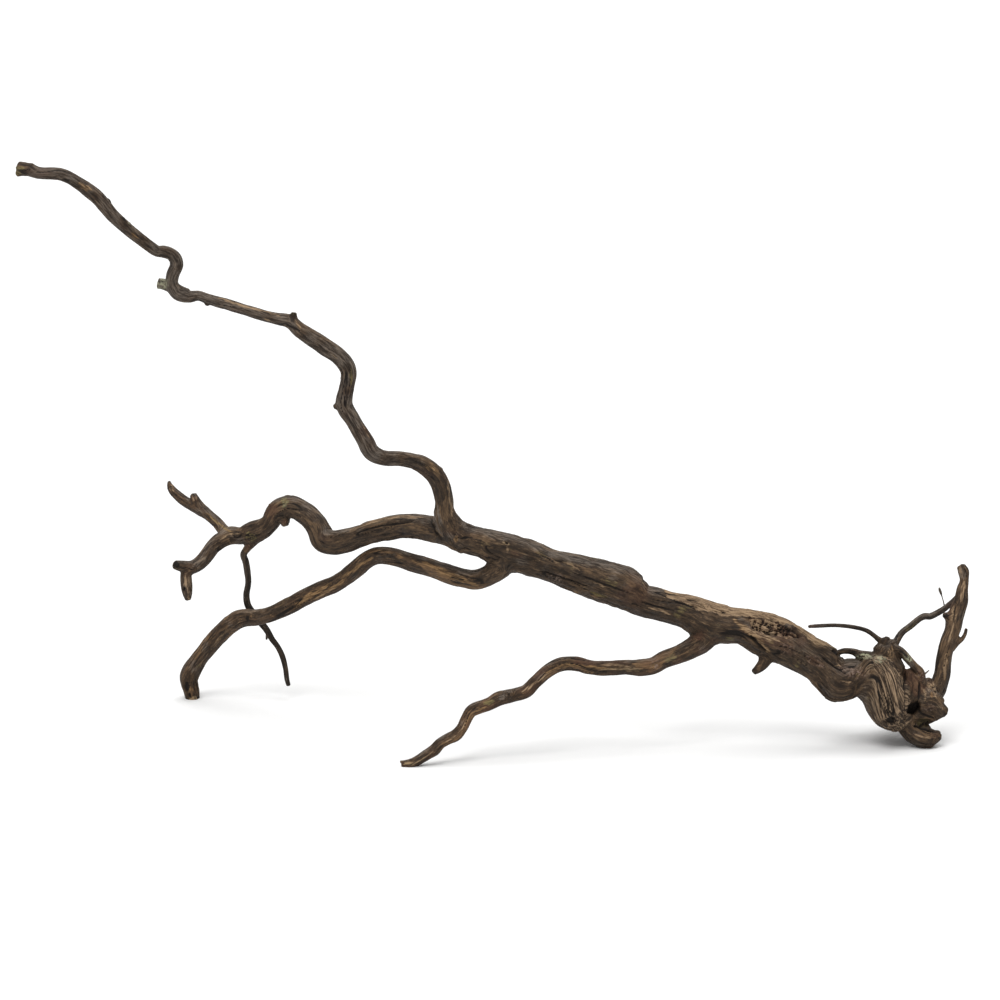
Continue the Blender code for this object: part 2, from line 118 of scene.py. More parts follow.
LEADER_STUB = [
    (-189, 124, -54, 3.2), (-196.5, 127.4, -53, 3.3), (-201.6, 129.4, -52, 3.2),
    (-205, 130, -51.5, 3.1),
]
UPPER_STUB = [(-93, 56.8, -43, 3.4), (-97, 56.4, -44, 2.4), (-99.4, 55.9, -44.5, 1.4)]
UPPER_THORN = [(-125, 107, -60, 3), (-123.9, 110.2, -61, 2.1), (-123.6, 112.4, -61.5, 1.6)]
MIDDLE = [
    (-21.5, -24, 2, 8.2), (-32.4, -19.3, 7, 8), (-42, -17.2, 13, 7.4), (-52.2, -15.7, 19, 7),
    (-62, -16, 25, 7), (-76.1, -18.8, 32, 6.8), (-85.6, -22.1, 37, 6.8), (-97.4, -25.4, 43, 7.7),
    (-105, -23.8, 48, 7.9), (-110.2, -14.7, 52, 7.4), (-117, -7.6, 56, 6.7), (-125.4, -4.1, 60, 6.7),
    (-133, -6.5, 65, 6.4), (-137.8, -13.6, 69, 5.5), (-142.4, -17.3, 72, 5.9), (-149.2, -20, 77, 6.1),
    (-155.3, -21.8, 81, 4.9), (-161.6, -22, 84, 5), (-167.4, -24.5, 82, 4.8), (-172.5, -28.6, 79, 4.3),
    (-178.2, -36.1, 75, 4.2), (-184.4, -40.3, 71, 4.1), (-190.5, -39.7, 67, 3.5),
    (-194.6, -38.9, 64, 2.8),
]
MIDDLE_SPUR = [
    (-186.4, -39.8, 70, 3.4), (-188.3, -45.1, 69, 3.5), (-188.1, -50.9, 68, 3.6),
    (-187.6, -56, 67, 3), (-187.2, -59.4, 66.5, 1.9),
]
MIDDLE_STUB = [(-130, -8.5, 62, 3.8), (-129.2, -12.4, 60, 3.3), (-129, -14.6, 59, 2.4)]
FORK = [
    (-159, -21.4, 84, 3.8), (-165, -19, 87, 3.5), (-170.1, -13.4, 92, 3.2), (-175, -9, 96, 3.1),
    (-180.3, -5.3, 100, 3.6), (-188.2, -1.2, 104, 3), (-194.1, 3.4, 107, 2.7), (-197.6, 7.6, 109, 2.1),
    (-198.6, 11, 110, 1),
]
FORK_STUB = [(-180, -4.6, 100, 2.9), (-182.8, 0.4, 101, 2.5), (-184, 2.9, 102, 2.1)]
HANGING = [
    (-143.4, -18.4, 75, 4.4), (-148.6, -25, 77.5, 3.2), (-152, -29.6, 79, 2.2), (-153.8, -32.8, 80, 2.1),
    (-152.6, -37.1, 82, 2), (-151.6, -43.4, 85, 1.9), (-151.1, -49.7, 88, 1.8), (-152.2, -56.6, 93, 1.9),
    (-151.6, -62.4, 97, 2), (-149.2, -66.6, 100, 2), (-145.2, -71.8, 102, 2), (-140.4, -77.4, 104, 1.9),
    (-136.8, -83.4, 106, 1.8), (-133.4, -88, 107, 1.7), (-130.5, -94, 108, 1.7),
    (-128.7, -100.8, 109, 1.6), (-127.9, -107, 110, 1.6), (-126.9, -111, 110, 1.4),
]
LOWER = [
    (7, -33, -1, 8.6), (-0.6, -40.6, 1, 7.3), (-6.8, -45.2, 4, 6), (-14.4, -47.7, 7, 5.7),
    (-22.2, -46.8, 10, 5.4), (-32.2, -43.8, 14, 5.4), (-42.1, -40.4, 21, 5.4), (-52.2, -37.5, 28, 5.4),
    (-62, -34.3, 33, 5.4), (-68.4, -33.2, 36, 5.5), (-74.2, -33.4, 39, 5.5), (-80.7, -36.6, 43, 5.5),
    (-88.2, -42.8, 49, 5.4), (-97, -49.3, 56, 5.2), (-106.7, -53.5, 63, 5), (-116.2, -58.1, 70, 4.8),
    (-125.8, -63.3, 75, 4.8), (-135.5, -67.9, 80, 4.4), (-145, -70.5, 86, 4.6), (-154.5, -71.2, 91, 5.3),
    (-161.6, -74.8, 96, 5.6), (-169.2, -81.7, 102, 5.6), (-175.8, -89.2, 106, 5.4),
    (-182.5, -97.8, 109, 5.5), (-186.9, -106.8, 112, 5.9), (-185.3, -114.4, 113, 5.1),
    (-184.4, -119.8, 113.6, 4.2),
]
FRONT = [
    (128, -76, -8, 9.8), (121.6, -84.8, -9, 7.1), (113.4, -89.8, -10, 5.7), (105.6, -93.3, -12, 5.2),
    (98.3, -95.9, -14, 4.9), (92.2, -99.2, -16, 4.9), (85.2, -100.3, -17, 5), (75.3, -100.2, -19, 4.4),
    (67.2, -100.8, -20, 4.5), (55.2, -100.4, -22, 4.5), (45.4, -98.1, -23, 4.5), (37.4, -98.2, -25, 4.5),
    (29.2, -102, -27, 4.4), (21.2, -109.1, -29, 4.2), (15.6, -114.6, -30, 4.2), (7.6, -117.2, -31, 4),
    (-0.4, -119.2, -32, 4.2), (-6.3, -122.3, -33, 3.9), (-13.8, -125, -34, 3.8),
    (-17.4, -127.2, -34.5, 3.5), (-20.2, -132, -35, 3.3), (-22.5, -136.8, -36, 3.3),
    (-26.3, -141.2, -36.5, 3.5),
    (-31.8, -143.9, -37, 3.2), (-36, -146.5, -38, 3.2), (-39.4, -150.2, -38.5, 3.4),
    (-44.6, -153.4, -39, 3.1), (-49.2, -156.3, -40, 2.9), (-54, -158.6, -40, 2.9),
    (-58.4, -159.2, -40, 2),
]
UPRIGHT = [
    (256, -122, 12, 7), (262.4, -113.4, 14, 5.8), (265.2, -105.6, 15, 5), (266, -99, 16, 4.6),
    (266.8, -93, 17, 4.4), (269, -85.2, 18, 4.6), (271.6, -78.6, 19, 4.6), (272.9, -72, 20, 4.7),
    (275.1, -65.4, 21, 4.5), (276.9, -60, 22, 4), (277.5, -53.4, 23, 3.3), (278.5, -48.3, 24, 2.7),
    (278, -43, 25, 3.4), (276.8, -40, 25.4, 2.8),
]
UPRIGHT_STUB = [(271.4, -71, 20, 3.2), (268.4, -69.8, 20, 2.3), (266.4, -68.9, 20, 1.6)]
UPRIGHT_TWIG = [
    (271.5, -88, 18, 2.4), (274.7, -85.4, 18, 1.7), (277.3, -83.3, 18, 1.4), (279.1, -80.2, 18, 1.15),
    (279.7, -77.4, 18, 0.95),
]
LEFT_ROOTLET = [
    (233.5, -89, 0, 3.6), (227.6, -84, -2, 1.8), (220.2, -78.5, -6, 1.4), (211.8, -76.2, -10, 1.3),
    (201.6, -75.2, -14, 1.2), (192, -75.5, -18, 1.2), (185.4, -75.9, -20, 1),
]
RIGHT_ROOTLET = [
    (234.5, -90, 4, 3.8), (237.8, -84.6, 8, 2.3), (241.3, -79.5, 11, 2), (246.2, -75.7, 14, 2),
    (251.7, -71.2, 18, 1.9), (254.7, -69.8, 20, 2), (258.2, -69.7, 23, 2), (261.8, -68.1, 26, 1.9),
    (265.4, -66, 29, 1.9), (268.7, -63.6, 31, 1.8), (271.6, -61, 33, 1.7), (274, -58.2, 34, 1.4),
]

# Lumps of the root crown and the forms that grow on the trunk itself
SWIRL = [
    (222.5, -98, -3, 6.6), (226.5, -103, -6, 11), (230.5, -116, -7, 12.6),
    (234.2, -127.2, -6, 11.4), (240, -134.3, -4, 6.6),
]
BACK_LUMP = [
    (215, -104, 4, 5), (222.5, -104.5, 9, 9.4), (231, -112, 15, 12), (242, -121, 15, 11),
    (250, -129, 12, 7),
]
KNOB = [
    (234, -103, -1, 9.5), (232.2, -96, -1, 8.5), (231.5, -90.6, -1, 7.6), (232.8, -87.3, -1, 5.3),
    (231.6, -85.1, -1, 3.5), (231.2, -83.5, -1, 2.7),
]
RED_LUMP = [
    (244.5, -102, 2, 5.4), (247.5, -112, 0, 7), (250, -122, 1, 7.8), (250, -129, 2, 7.4),
]
NOSE = [
    (247, -122, 2, 9), (253.6, -121.8, 1, 9.6), (258.4, -122, 0, 7.6), (263.2, -126, 0, 6),
    (267, -127.4, 0, 3.2),
]
CHIN = [(248, -128, 1, 6.8), (255, -129.4, 0, 5.8), (260.6, -128.8, 0, 4.1), (264, -127.8, 0, 2.7)]
NOSE_PEAK = [(256, -122, 2, 6.5), (257, -113, 3, 4.8), (257, -107.8, 4, 2.8)]
JAW = [
    (236, -126, 0, 9.4), (241.8, -133.1, 0, 6.4), (249.2, -139.7, 0, 6.9), (256.4, -142.6, 0, 6.8),
    (261, -142, 0, 4.2), (263.4, -141.2, 0, 3),
]
HEEL = [(240, -128, 10, 8), (248, -134, 16, 7), (254, -140, 20, 5.5)]
BACK_ROOT = [
    (230, -110, 12, 9), (236, -114, 24, 7.4), (240, -117.6, 31, 6), (245, -118.6, 38, 5.2),
    (247.4, -121, 42, 3.4),
]
SPIKE = [
    (160, -84, -9, 7.6), (160, -92.8, -9, 4.9), (158.2, -97.8, -10, 3.5), (155.2, -101.1, -10.5, 2.7),
    (152.4, -103.2, -11, 1.9),
]
SHORT_ROOTLET = [
    (236, -89, -2, 3.4), (240.4, -90.8, -4, 2.6), (244.4, -95, -5, 2.5), (248.6, -99.6, -5, 2.5),
    (251.6, -103.4, -3, 3.2), (252, -110, -1, 4),
]
BRIDGE_ROOTLET = [
    (197.6, -97, 1, 1.8), (201, -92.8, -2, 1.6), (206.2, -90.7, -3.5, 1.8), (211.8, -91, -3, 2),
    (216.4, -92.9, -3, 2.9), (222, -94, -2, 3.4),
]

# Details too fine for the solids: a dry bud stalk, a splinter and a spur
BUD_STALK = [
    (267, -65.6, 30, 0.5), (266.1, -61.2, 30, 0.36), (265.1, -57.7, 30, 0.36), (264.5, -55.8, 30, 0.75),
    (263.8, -53.8, 30, 0.8), (263.5, -52.6, 30, 0.4),
]
SPLINTER = [(252.5, -106, -2, 1), (255, -104.2, -2.5, 0.6), (257.4, -102.2, -3, 0.3)]
TWIG_SPUR = [(-139, -78.4, 104.5, 1.3), (-139.8, -81.2, 105, 0.9), (-140.1, -83.6, 105.5, 0.6)]

# Small bumps that break the outlines: (across, up, away, radius), from inside the limb outwards
UPPER_BUD = [(-237, 177.4, -80.5, 3.2), (-234.5, 179.7, -80.5, 1.5)]
UPPER_COLLAR = [(-281.4, 197.4, -89.8, 4), (-282.6, 200.4, -90, 3)]
LEADER_BUD = [(-175.4, 119.2, -55, 2.4), (-175.9, 117, -55, 1.3)]
MIDDLE_CREST = [(-127.8, -1, 61, 3), (-127.3, 2.3, 61, 1)]
UPPER_LIP = [(-285.6, 197.4, -90, 2.8), (-289.8, 195.6, -90.4, 1.7)]
FRONT_KNUCKLE = [(90.8, -101, -17, 3.6), (90.4, -102.8, -17, 2)]
FRONT_KNOT = [(5.6, -117.4, -33, 3.4), (5.4, -116.8, -36.4, 1.8)]
UPPER_CORNER = [(-38, 16, -20, 3), (-36.2, 17.8, -20.5, 2.2), (-35.3, 18.7, -20.5, 1.6)]
FRONT_POINT = [(-54, -157.4, -40, 1.9), (-57.6, -157.3, -40, 1.2), (-60, -157, -40, 0.7)]
LOWER_HIP = [(-160.6, -73.4, 95, 4.6), (-162.6, -70.8, 95, 2.6)]

# Lobes of the cross-section: (share of the radius, lobes around, angle, turns in radians per mm)
TRUNK_LOBES = [(0.075, 2, 0.6, 0.020), (0.050, 3, 2.1, -0.013), (0.030, 5, 0.3, 0.031)]
LIMB_LOBES = [(0.065, 2, 1.1, 0.045), (0.045, 3, 0.2, -0.030)]
PLAIN = []

# Limbs: name, stations, lobes, how far it blends into what it grows from in mm, what it grows
# from, and, where it has a node of its own, that node and how far along the limb it starts
LIMBS = [
    ("trunk", TRUNK, TRUNK_LOBES, 4, None, "trunk", 0),
    ("upper", UPPER, LIMB_LOBES, 4, "trunk", "upper_branch", 27),
    ("middle", MIDDLE, LIMB_LOBES, 4, "trunk", "middle_branch", 30),
    ("lower", LOWER, LIMB_LOBES, 2.8, "trunk", "lower_branch", 22),
    ("front", FRONT, LIMB_LOBES, 2.8, "trunk", "front_branch", 23),
    ("spike", SPIKE, LIMB_LOBES, 1.8, "trunk"),
    ("back_lump", BACK_LUMP, LIMB_LOBES, 6, "trunk"),
    ("swirl", SWIRL, LIMB_LOBES, 7, "trunk"),
    ("knob", KNOB, LIMB_LOBES, 2.5, "swirl"),
    ("red_lump", RED_LUMP, LIMB_LOBES, 1.6, "swirl"),
    ("nose", NOSE, LIMB_LOBES, 1.8, "red_lump"),
    ("chin", CHIN, LIMB_LOBES, 1.4, "red_lump"),
    ("nose_peak", NOSE_PEAK, LIMB_LOBES, 2.5, "nose"),
    ("jaw", JAW, LIMB_LOBES, 2, "swirl"),
    ("heel", HEEL, LIMB_LOBES, 3, "jaw"),
    ("back_root", BACK_ROOT, LIMB_LOBES, 3, "back_lump"),
    ("upright", UPRIGHT, LIMB_LOBES, 3.5, "nose", "upright_branch", 19),
    ("short_rootlet", SHORT_ROOTLET, PLAIN, 1, "knob"),
    ("bridge_rootlet", BRIDGE_ROOTLET, PLAIN, 1, "trunk"),
    ("left_rootlet", LEFT_ROOTLET, PLAIN, 1.2, "knob", "left_rootlet", 9),
    ("right_rootlet", RIGHT_ROOTLET, PLAIN, 1.2, "knob", "right_rootlet", 10),
    ("leader_stub", LEADER_STUB, LIMB_LOBES, 2, "upper"),
    ("upper_stub", UPPER_STUB, LIMB_LOBES, 1.6, "upper"),
    ("upper_thorn", UPPER_THORN, LIMB_LOBES, 1.4, "upper"),
    ("upper_bud", UPPER_BUD, PLAIN, 1.2, "upper"),
    ("upper_collar", UPPER_COLLAR, PLAIN, 1.5, "upper"),
    ("upper_lip", UPPER_LIP, PLAIN, 1, "upper"),
    ("upper_corner", UPPER_CORNER, PLAIN, 1.6, "upper"),
    ("leader_bud", LEADER_BUD, PLAIN, 1, "upper"),
    ("middle_crest", MIDDLE_CREST, PLAIN, 2, "middle"),
    ("front_knuckle", FRONT_KNUCKLE, PLAIN, 1.5, "front"),
    ("front_knot", FRONT_KNOT, PLAIN, 1.5, "front"),
    ("front_point", FRONT_POINT, PLAIN, 0.8, "front"),
    ("lower_hip", LOWER_HIP, PLAIN, 2, "lower"),
    ("middle_spur", MIDDLE_SPUR, LIMB_LOBES, 2, "middle"),
    ("middle_stub", MIDDLE_STUB, LIMB_LOBES, 2, "middle"),
    ("fork", FORK, LIMB_LOBES, 3, "middle", "middle_fork", 12),
    ("fork_stub", FORK_STUB, LIMB_LOBES, 1.5, "fork"),
    ("hanging", HANGING, LIMB_LOBES, 1.2, "middle", "hanging_twig", 17),
    ("upright_stub", UPRIGHT_STUB, LIMB_LOBES, 1.6, "upright"),
    ("upright_twig", UPRIGHT_TWIG, PLAIN, 1.4, "upright"),
]
BLUNT = ("lower", "leader_stub", "upper_thorn")

# Thin details that are skinned as they are: stations and their node
SLIVERS = [(BUD_STALK, "right_rootlet"), (SPLINTER, "trunk"), (TWIG_SPUR, "hanging_twig")]

# Marks of age on the side that the eye sees, in millimetres across and up. The sunken dark marks in
# creases and pits are painted shade.
# Spots: middle, half length, half width, turn in degrees, how far it stands out, what covers it
SPOTS = [
    ((3.6, -26.2), 3.2, 2.4, -20, 0.5, {"bare": 0.34, "moss": 0.3}),
    ((3.9, -26), 1.3, 0.9, -20, -1.1, {"dark": 0.6}),
    ((-26.1, -24), 2.6, 3.8, -15, 0.25, {"gold": 0.75, "red": 1}),
    ((160, -82), 22, 7, -20, 0, {"red": 0.7}),
    ((9, -33), 6, 2.6, -20, -0.3, {"red": 0.5}),
    ((33, -46.5), 9, 4, -20, 0, {"rough": 1}),
    ((45.5, -55), 5, 2.2, -18, 0.75, {"gold": 0.35}),
    ((57, -58), 4, 2, -18, 0.45, {"gold": 0.35}),
    ((198.5, -119), 5, 3, -45, 0.5, {}),
    ((199.6, -92.6), 3, 1.5, -35, -1.3, {"dark": 0.9}),
    ((119.6, -81.4), 5.2, 4, 35, -0.25, {"red": 1}),
    ((93, -99.2), 4.6, 3.4, 50, 0.25, {"gold": 0.5, "red": 0.5, "rough": 1}),
    ((189, -97), 7, 4, -25, 0, {"red": 0.55, "rough": 1}),
    ((212, -103), 13, 5, -12, 0, {"red": 0.4, "rough": 0.9}),
    ((171, -89), 8, 5, -20, 0, {"red": 0.5, "rough": 0.5}),
    ((248.6, -124.8), 4, 5.2, -20, -5.2, {"dark": 0.7}),
    ((254, -133.2), 6, 2.6, -6, -2, {"dark": 0.35, "moss": 0.7}),
    ((233.8, -132.4), 4.8, 2.2, 14, -1.9, {"dark": 0.75}),
    ((259.4, -116.6), 1.5, 2.6, 15, -0.4, {"gold": 0.75, "red": 0.8}),
    ((257.6, -110.6), 2.4, 4.6, -8, 0.2, {"bare": 0.48}),
    ((257.4, -124.4), 5.5, 3.5, 0, 0, {"rough": 1, "red": 0.3}),
    ((218.4, -93.6), 6.4, 2.6, -3, 0.3, {"lichen": 0.9}),
    ((228, -95.4), 4.4, 3, -10, 0.2, {"lichen": 0.55, "ash_and_sheen": 0.5}),
    ((244.6, -94.4), 4.2, 2.4, -50, 0.25, {"lichen": 0.8}),
    ((247, -98), 3.2, 2.2, -50, 0.1, {"ash_and_sheen": 0.9}),
    ((251.6, -105), 4.6, 3.4, -40, 0.3, {"red": 1, "gold": 0.3, "rough": 1}),
    ((234.6, -91.4), 3, 4.6, 0, 0.2, {"gold": 0.3, "bare": 0.25}),
    ((231.2, -83.4), 2.6, 1.3, 0, 0.2, {"dark": 0.3}),
    ((-129.4, -1.6), 2.8, 3.8, -15, 0.3, {"moss": 1, "gold": 0.8, "lichen": 0.22}),
    ((-136.4, -6.8), 5, 7, -20, 0, {"red": 0.8}),
    ((-129.6, -14), 3.4, 2.6, 0, 0.1, {"red": 0.9, "bare": 0.3}),
    ((-194.4, -38.8), 2.6, 2.6, 0, -0.5, {"dark": 0.9}),
    ((-194.8, -38.9), 1.1, 1.1, 0, 0.3, {"red": 1}),
    ((-189.9, -53.2), 1.5, 1.9, 0, -1.6, {"dark": 1}),
    ((-187, -58.8), 2.4, 2, 0, 0, {"bare": 0.6, "ash_and_sheen": 0.5}),
    ((-183.4, 0.8), 2.4, 2.2, 0, 0.1, {"red": 0.7, "bare": 0.5}),
    ((-197.2, 7.4), 2.4, 4.2, 20, 0, {"red": 0.7, "bare": 0.6}),
    ((-150.6, -28.6), 2.6, 5, 25, 0, {"red": 0.9}),
    ((-187.8, -112), 1.6, 3.8, 6, -1.1, {"dark": 0.75}),
    ((-183, -119.6), 4.4, 2.6, 0, 0, {"cut": 0.75, "gold": 0.3}),
    ((-41, 18.6), 6.4, 4, -35, 0.2, {"gold": 0.42, "bare": 0.2}),
    ((-288.6, 198), 4.6, 3.2, 30, -0.3, {"moss": 1, "cut": 0.2}),
    ((-204.6, 129.8), 7.4, 6.4, 30, 0, {"lichen": 0.7, "ash_and_sheen": 1}),
    ((-219, 158.6), 4.2, 1.6, -38, 0.1, {"gold": 0.55}),
    ((-250, 187.4), 5, 1.4, -35, 0.1, {"gold": 0.7}),
    ((-188.5, 146), 3, 3, 0, 0.1, {"gold": 0.4}),
    ((-55, -158), 5.6, 2.6, 8, -0.3, {"cut": 0.42, "red": 0.6, "moss": 0.4}),
    ((277.4, -44), 3.4, 4.4, 0, 0.1, {"ash_and_sheen": 1, "bare": 0.2}),
    ((-137.5, -3.6), 1.2, 1.2, 0, 0.8, {}),
    ((-150, -21), 5, 2.4, 25, 0, {"moss": 0.6}),
    ((-198, 134), 9, 12, 60, 0, {"ash_and_sheen": 0.62}),
    ((-193, 142), 1.6, 2.4, 60, 0.1, {"bare": 0.35, "ash_and_sheen": 0.6}),
    ((-187, -50), 4.6, 8, 0, 0, {"bare": 0.36, "ash_and_sheen": 0.4}),
    ((-180, -37), 8, 4.6, 30, 0, {"bare": 0.22, "ash_and_sheen": 0.5}),
    ((-186.4, -117.2), 1, 1.8, 5, -0.9, {"dark": 0.6}),
    ((-180.6, -118.6), 1.4, 2, 0, -0.8, {"dark": 0.5}),
    ((-187.6, -103), 2, 3, 10, 0.7, {}),
    ((-148, -23.4), 4, 2, 40, 0.2, {"moss": 0.9, "bare": 0.2}),
    ((24, -33), 5, 3, -20, 0.3, {"moss": 0.35}),
    ((66, -50), 7, 4, -18, 0.4, {"moss": 0.35}),
    # Painted highlight: a pale speck on the upper limb
    ((-139.6, 108.2), 3, 1, -15, 0, {"bare": 0.8}),
    ((-124, 110), 3, 5, 0, -0.1, {"dark": 0.42}),
    ((-222.6, 166), 1.5, 1.2, -40, 0.3, {"ash_and_sheen": 1, "lichen": 0.3}),
    ((-249, 188.4), 5.4, 1.6, -35, 0.1, {"gold": 0.6, "bare": 0.4}),
    ((5.4, -116.8), 0.9, 0.9, 0, -0.9, {"dark": 0.8}),
    ((1, -118.4), 5, 2.6, 25, 0.2, {"ash_and_sheen": 0.6}),
    ((-6.4, -121.4), 5, 2.4, 25, 0, {"moss": 0.7}),
    ((103, -95), 6, 3.2, 30, 0, {"moss": 0.45, "ash_and_sheen": 0.4}),
    ((-36.5, -9), 1.6, 8, 10, 0.4, {"ash_and_sheen": 0.9}),
    ((152, -104), 4, 4, 0, 0, {"dark": 0.35}),
]

# Strokes: route, half width, how far it stands out, what covers it. The sunken dark strokes are painted
# shade in cracks and creases and under a bark lip.
STROKES = [
    ([(88.6, -64.6), (95, -66.2), (103.2, -68.8)], 0.75, -0.7, {"bare": 1}),
    ([(84, -60.8), (93, -63.6), (104, -66.6)], 0.7, -1, {"dark": 0.9}),
    ([(204, -108.4), (211.4, -109.4)], 0.6, -0.5, {"bare": 0.9}),
    ([(200.6, -99), (206, -99.4)], 0.6, -0.4, {"bare": 0.7}),
    ([(30.4, -34.8), (34.2, -37.2), (40.7, -37.8), (49, -42.4)], 0.9, -0.7, {"bare": 0.65}),
    ([(52.4, -47.8), (65.6, -53.4)], 0.8, -0.9, {"bare": 0.5}),
    ([(54, -55.6), (64, -58.8)], 0.9, -0.5, {"moss": 0.8, "gold": 0.5}),
    ([(15, -34), (19, -36), (24, -36.4)], 0.7, -0.5, {"bare": 0.6}),
    ([(4.2, -28), (4.6, -31.4)], 1, 0.2, {"bare": 0.8}),
    ([(44, -43.5), (60, -49.5), (78, -56)], 0.7, -1, {"dark": 0.9}),
    ([(24, -42.5), (36, -46.5), (52, -52)], 0.7, -0.9, {"dark": 0.8}),
    ([(140, -71.4), (150, -80.4), (161.6, -91)], 3.4, -0.2, {"gold": 0.75, "bare": 0.45}),
    ([(147.6, -77), (157, -81.6), (168, -84.4)], 2.8, 0, {"bare": 0.6}),
    ([(150, -82), (154.6, -87.2), (159.4, -90.6)], 1.1, -1.8, {"dark": 0.9}),
    ([(241.8, -98), (243.2, -108), (243.6, -120), (242.8, -132)], 0.9, -1.1,
     {"dark": 0.6, "red": 0.8}),
    ([(246.2, -103), (247.6, -112), (247, -119)], 0.6, -0.5, {"dark": 0.5}),
    ([(251.6, -109), (252, -115), (250.4, -121)], 0.9, -1.2, {"dark": 0.9}),
    ([(248.6, -135.4), (254, -136.4), (259.8, -138.8)], 1.5, -2.2, {"dark": 1}),
    ([(250, -125.4), (252.6, -128), (256.6, -129.6), (260.4, -131.2)], 0.9, -1.2, {"dark": 0.85}),
    ([(228.6, -131.8), (235, -129), (241.4, -125.4)], 1.1, 0.9, {"bare": 0.6}),
    ([(231.6, -117.5), (232.8, -123), (233.2, -129)], 0.9, -0.9, {"dark": 0.75}),
    ([(225.6, -109), (228, -118), (231.4, -126)], 0.6, 0.3, {"dark": 0.15}),
    ([(259.6, -108.8), (260.6, -114), (261.6, -119.8)], 1, 0.6, {"bare": 0.9}),
    ([(-125.6, -65.6), (-114, -57.4), (-101.4, -50.2)], 2.4, -0.2, {"gold": 0.95}),
    ([(-96, -48), (-84, -39), (-76, -34.5)], 1.7, -0.2, {"gold": 0.8}),
    ([(-46, -37), (-30, -45), (-13, -51.6)], 2.2, -0.2, {"gold": 0.95}),
    ([(-90, -18), (-76, -12.6), (-60, -9.8), (-46, -10.4)], 1.4, 0.2, {"bare": 0.75}),
    ([(-88, -20), (-74, -15.8), (-52, -13)], 0.7, -0.9, {"dark": 0.9}),
    ([(-31.4, 12), (-29.6, 0), (-28.8, -10)], 1.3, 0, {"bare": 0.6, "gold": 0.4}),
    ([(-89.4, 80), (-89.2, 68.6)], 1.3, 0.1, {"moss": 0.8, "gold": 0.5}),
    ([(-83.4, 47), (-77, 36)], 0.9, -0.4, {"bare": 0.5}),
    ([(-170, 121.4), (-150, 115.4), (-132, 110.4)], 1, 0.1, {"bare": 0.7}),
    ([(-129, 105), (-120, 101.6)], 1.2, -0.5, {"dark": 0.7}),
    ([(-122.4, 108), (-119.4, 102.4)], 0.8, 0, {"bare": 0.8}),
    ([(267.8, -92), (266.6, -107.6)], 1.5, -0.3, {"gold": 0.7, "bare": 0.7}),
    ([(278.4, -48.6), (276.6, -61)], 1.5, 0, {"bare": 0.9}),
    ([(271.8, -63.6), (271.2, -72.4)], 1.2, 0, {"bare": 0.8}),
    ([(274.6, -66), (271, -78), (268.6, -88)], 0.9, 0.1, {"bare": 0.6}),
    ([(230, -105), (236.4, -112), (239.6, -122)], 1.2, 0.2, {"bare": 0.55}),
    ([(252.6, -112), (255.6, -116), (255, -121)], 1.2, 0.2, {"bare": 0.55}),
    ([(262, -122.6), (265.8, -125.4)], 1.4, 0.1, {"bare": 0.5, "ash_and_sheen": 0.5}),
    ([(247.6, -140.4), (255, -143), (261, -142.4)], 1.4, 0.1, {"bare": 0.45, "red": 0.5}),
    ([(273, -61), (272, -75)], 0.6, -0.6, {"dark": 0.7}),
    ([(70, -101.6), (50, -99.8), (38, -99), (27, -104)], 1.2, 0, {"gold": 0.8}),
    ([(84, -101.6), (74, -99), (60, -98.6)], 0.9, 0, {"bare": 0.6}),
    ([(-8, -124), (-17, -128), (-22, -136)], 1, 0, {"gold": 0.7}),
    ([(-155, -72), (-166, -80), (-176, -93), (-181, -102)], 1, -0.2,
     {"bare": 0.4, "gold": 0.3}),
    ([(-172, -27), (-164, -21), (-156, -20)], 0.9, 0.1, {"bare": 0.5}),
    ([(-41, -8), (-41.2, -13.6), (-39, -19), (-35, -23.6)], 0.8, -1.2, {"dark": 0.75}),
    ([(-62, -31), (-44, -37.2), (-17, -43.4)], 1.5, 0, {"dark": 0.42}),
    ([(-96, -46), (-84, -38), (-74, -31.4)], 0.9, 0, {"dark": 0.40}),
    ([(-38.8, -5), (-39.2, -11.6), (-37.2, -17), (-33.4, -21.8)], 1.1, 0.7, {"ash_and_sheen": 0.9}),
    ([(-108, -57), (-100, -52.4), (-92, -47)], 1.5, -0.1, {"gold": 0.8}),
    ([(-113, -60.6), (-104, -55.4), (-95, -50.4)], 1, 0, {"gold": 0.9, "bare": 0.4}),
    ([(60, -101.4), (75, -101.6), (88, -102.4)], 1.6, 0, {"bare": 0.5, "moss": 0.5}),
    ([(30, -103.2), (21, -109.8), (13, -115.8)], 1, 0.1, {"bare": 0.7, "gold": 0.4}),
    ([(-21, -134), (-25, -140.6), (-33, -145.4)], 0.9, 0.1, {"bare": 0.6}),
    ([(-40, -150.6), (-47, -155.6), (-55, -159)], 1.1, 0.1, {"bare": 0.6, "moss": 0.4}),
    ([(-176, -8), (-168, -15), (-160, -20)], 1, 0.1, {"gold": 0.7, "moss": 0.4}),
]

# The lower edge of the bare strip along the trunk's top, as the eye sees it
STRIP_EDGE = [
    (97, -52), (100.8, -58.8), (111.8, -61.4), (117.6, -65.6), (126, -66.4), (133.7, -69.4),
    (142.8, -69.2), (155.4, -70.4), (164.8, -71.8), (175.8, -74.6), (189.2, -86.6), (202, -91.6),
]

# The worm-eaten hollow in the trunk: middle, half length, half width and turn in degrees
HOLLOW = ((164.4, -76.9), 19.5, 6, -15)
HOLLOW_CELL = 1.5

# What can lie over the bark. Part of the dark cover is painted shade in cracks, pits and hollows, and
# part of the grey cover is painted sheen on faces that point up
COVERS = ("worn", "bare", "red", "lichen", "dark", "cut", "gold", "moss", "ash_and_sheen", "rough")

# Each node's material slot
SLOTS = {
    "trunk": "bark",
    "upper_branch": "bark",
    "middle_branch": "bark",
    "middle_fork": "worn_bark",
    "hanging_twig": "dark_twig",
    "lower_branch": "worn_bark",
    "front_branch": "worn_bark",
    "upright_branch": "bark",
    "left_rootlet": "dark_twig",
    "right_rootlet": "dark_twig",
}

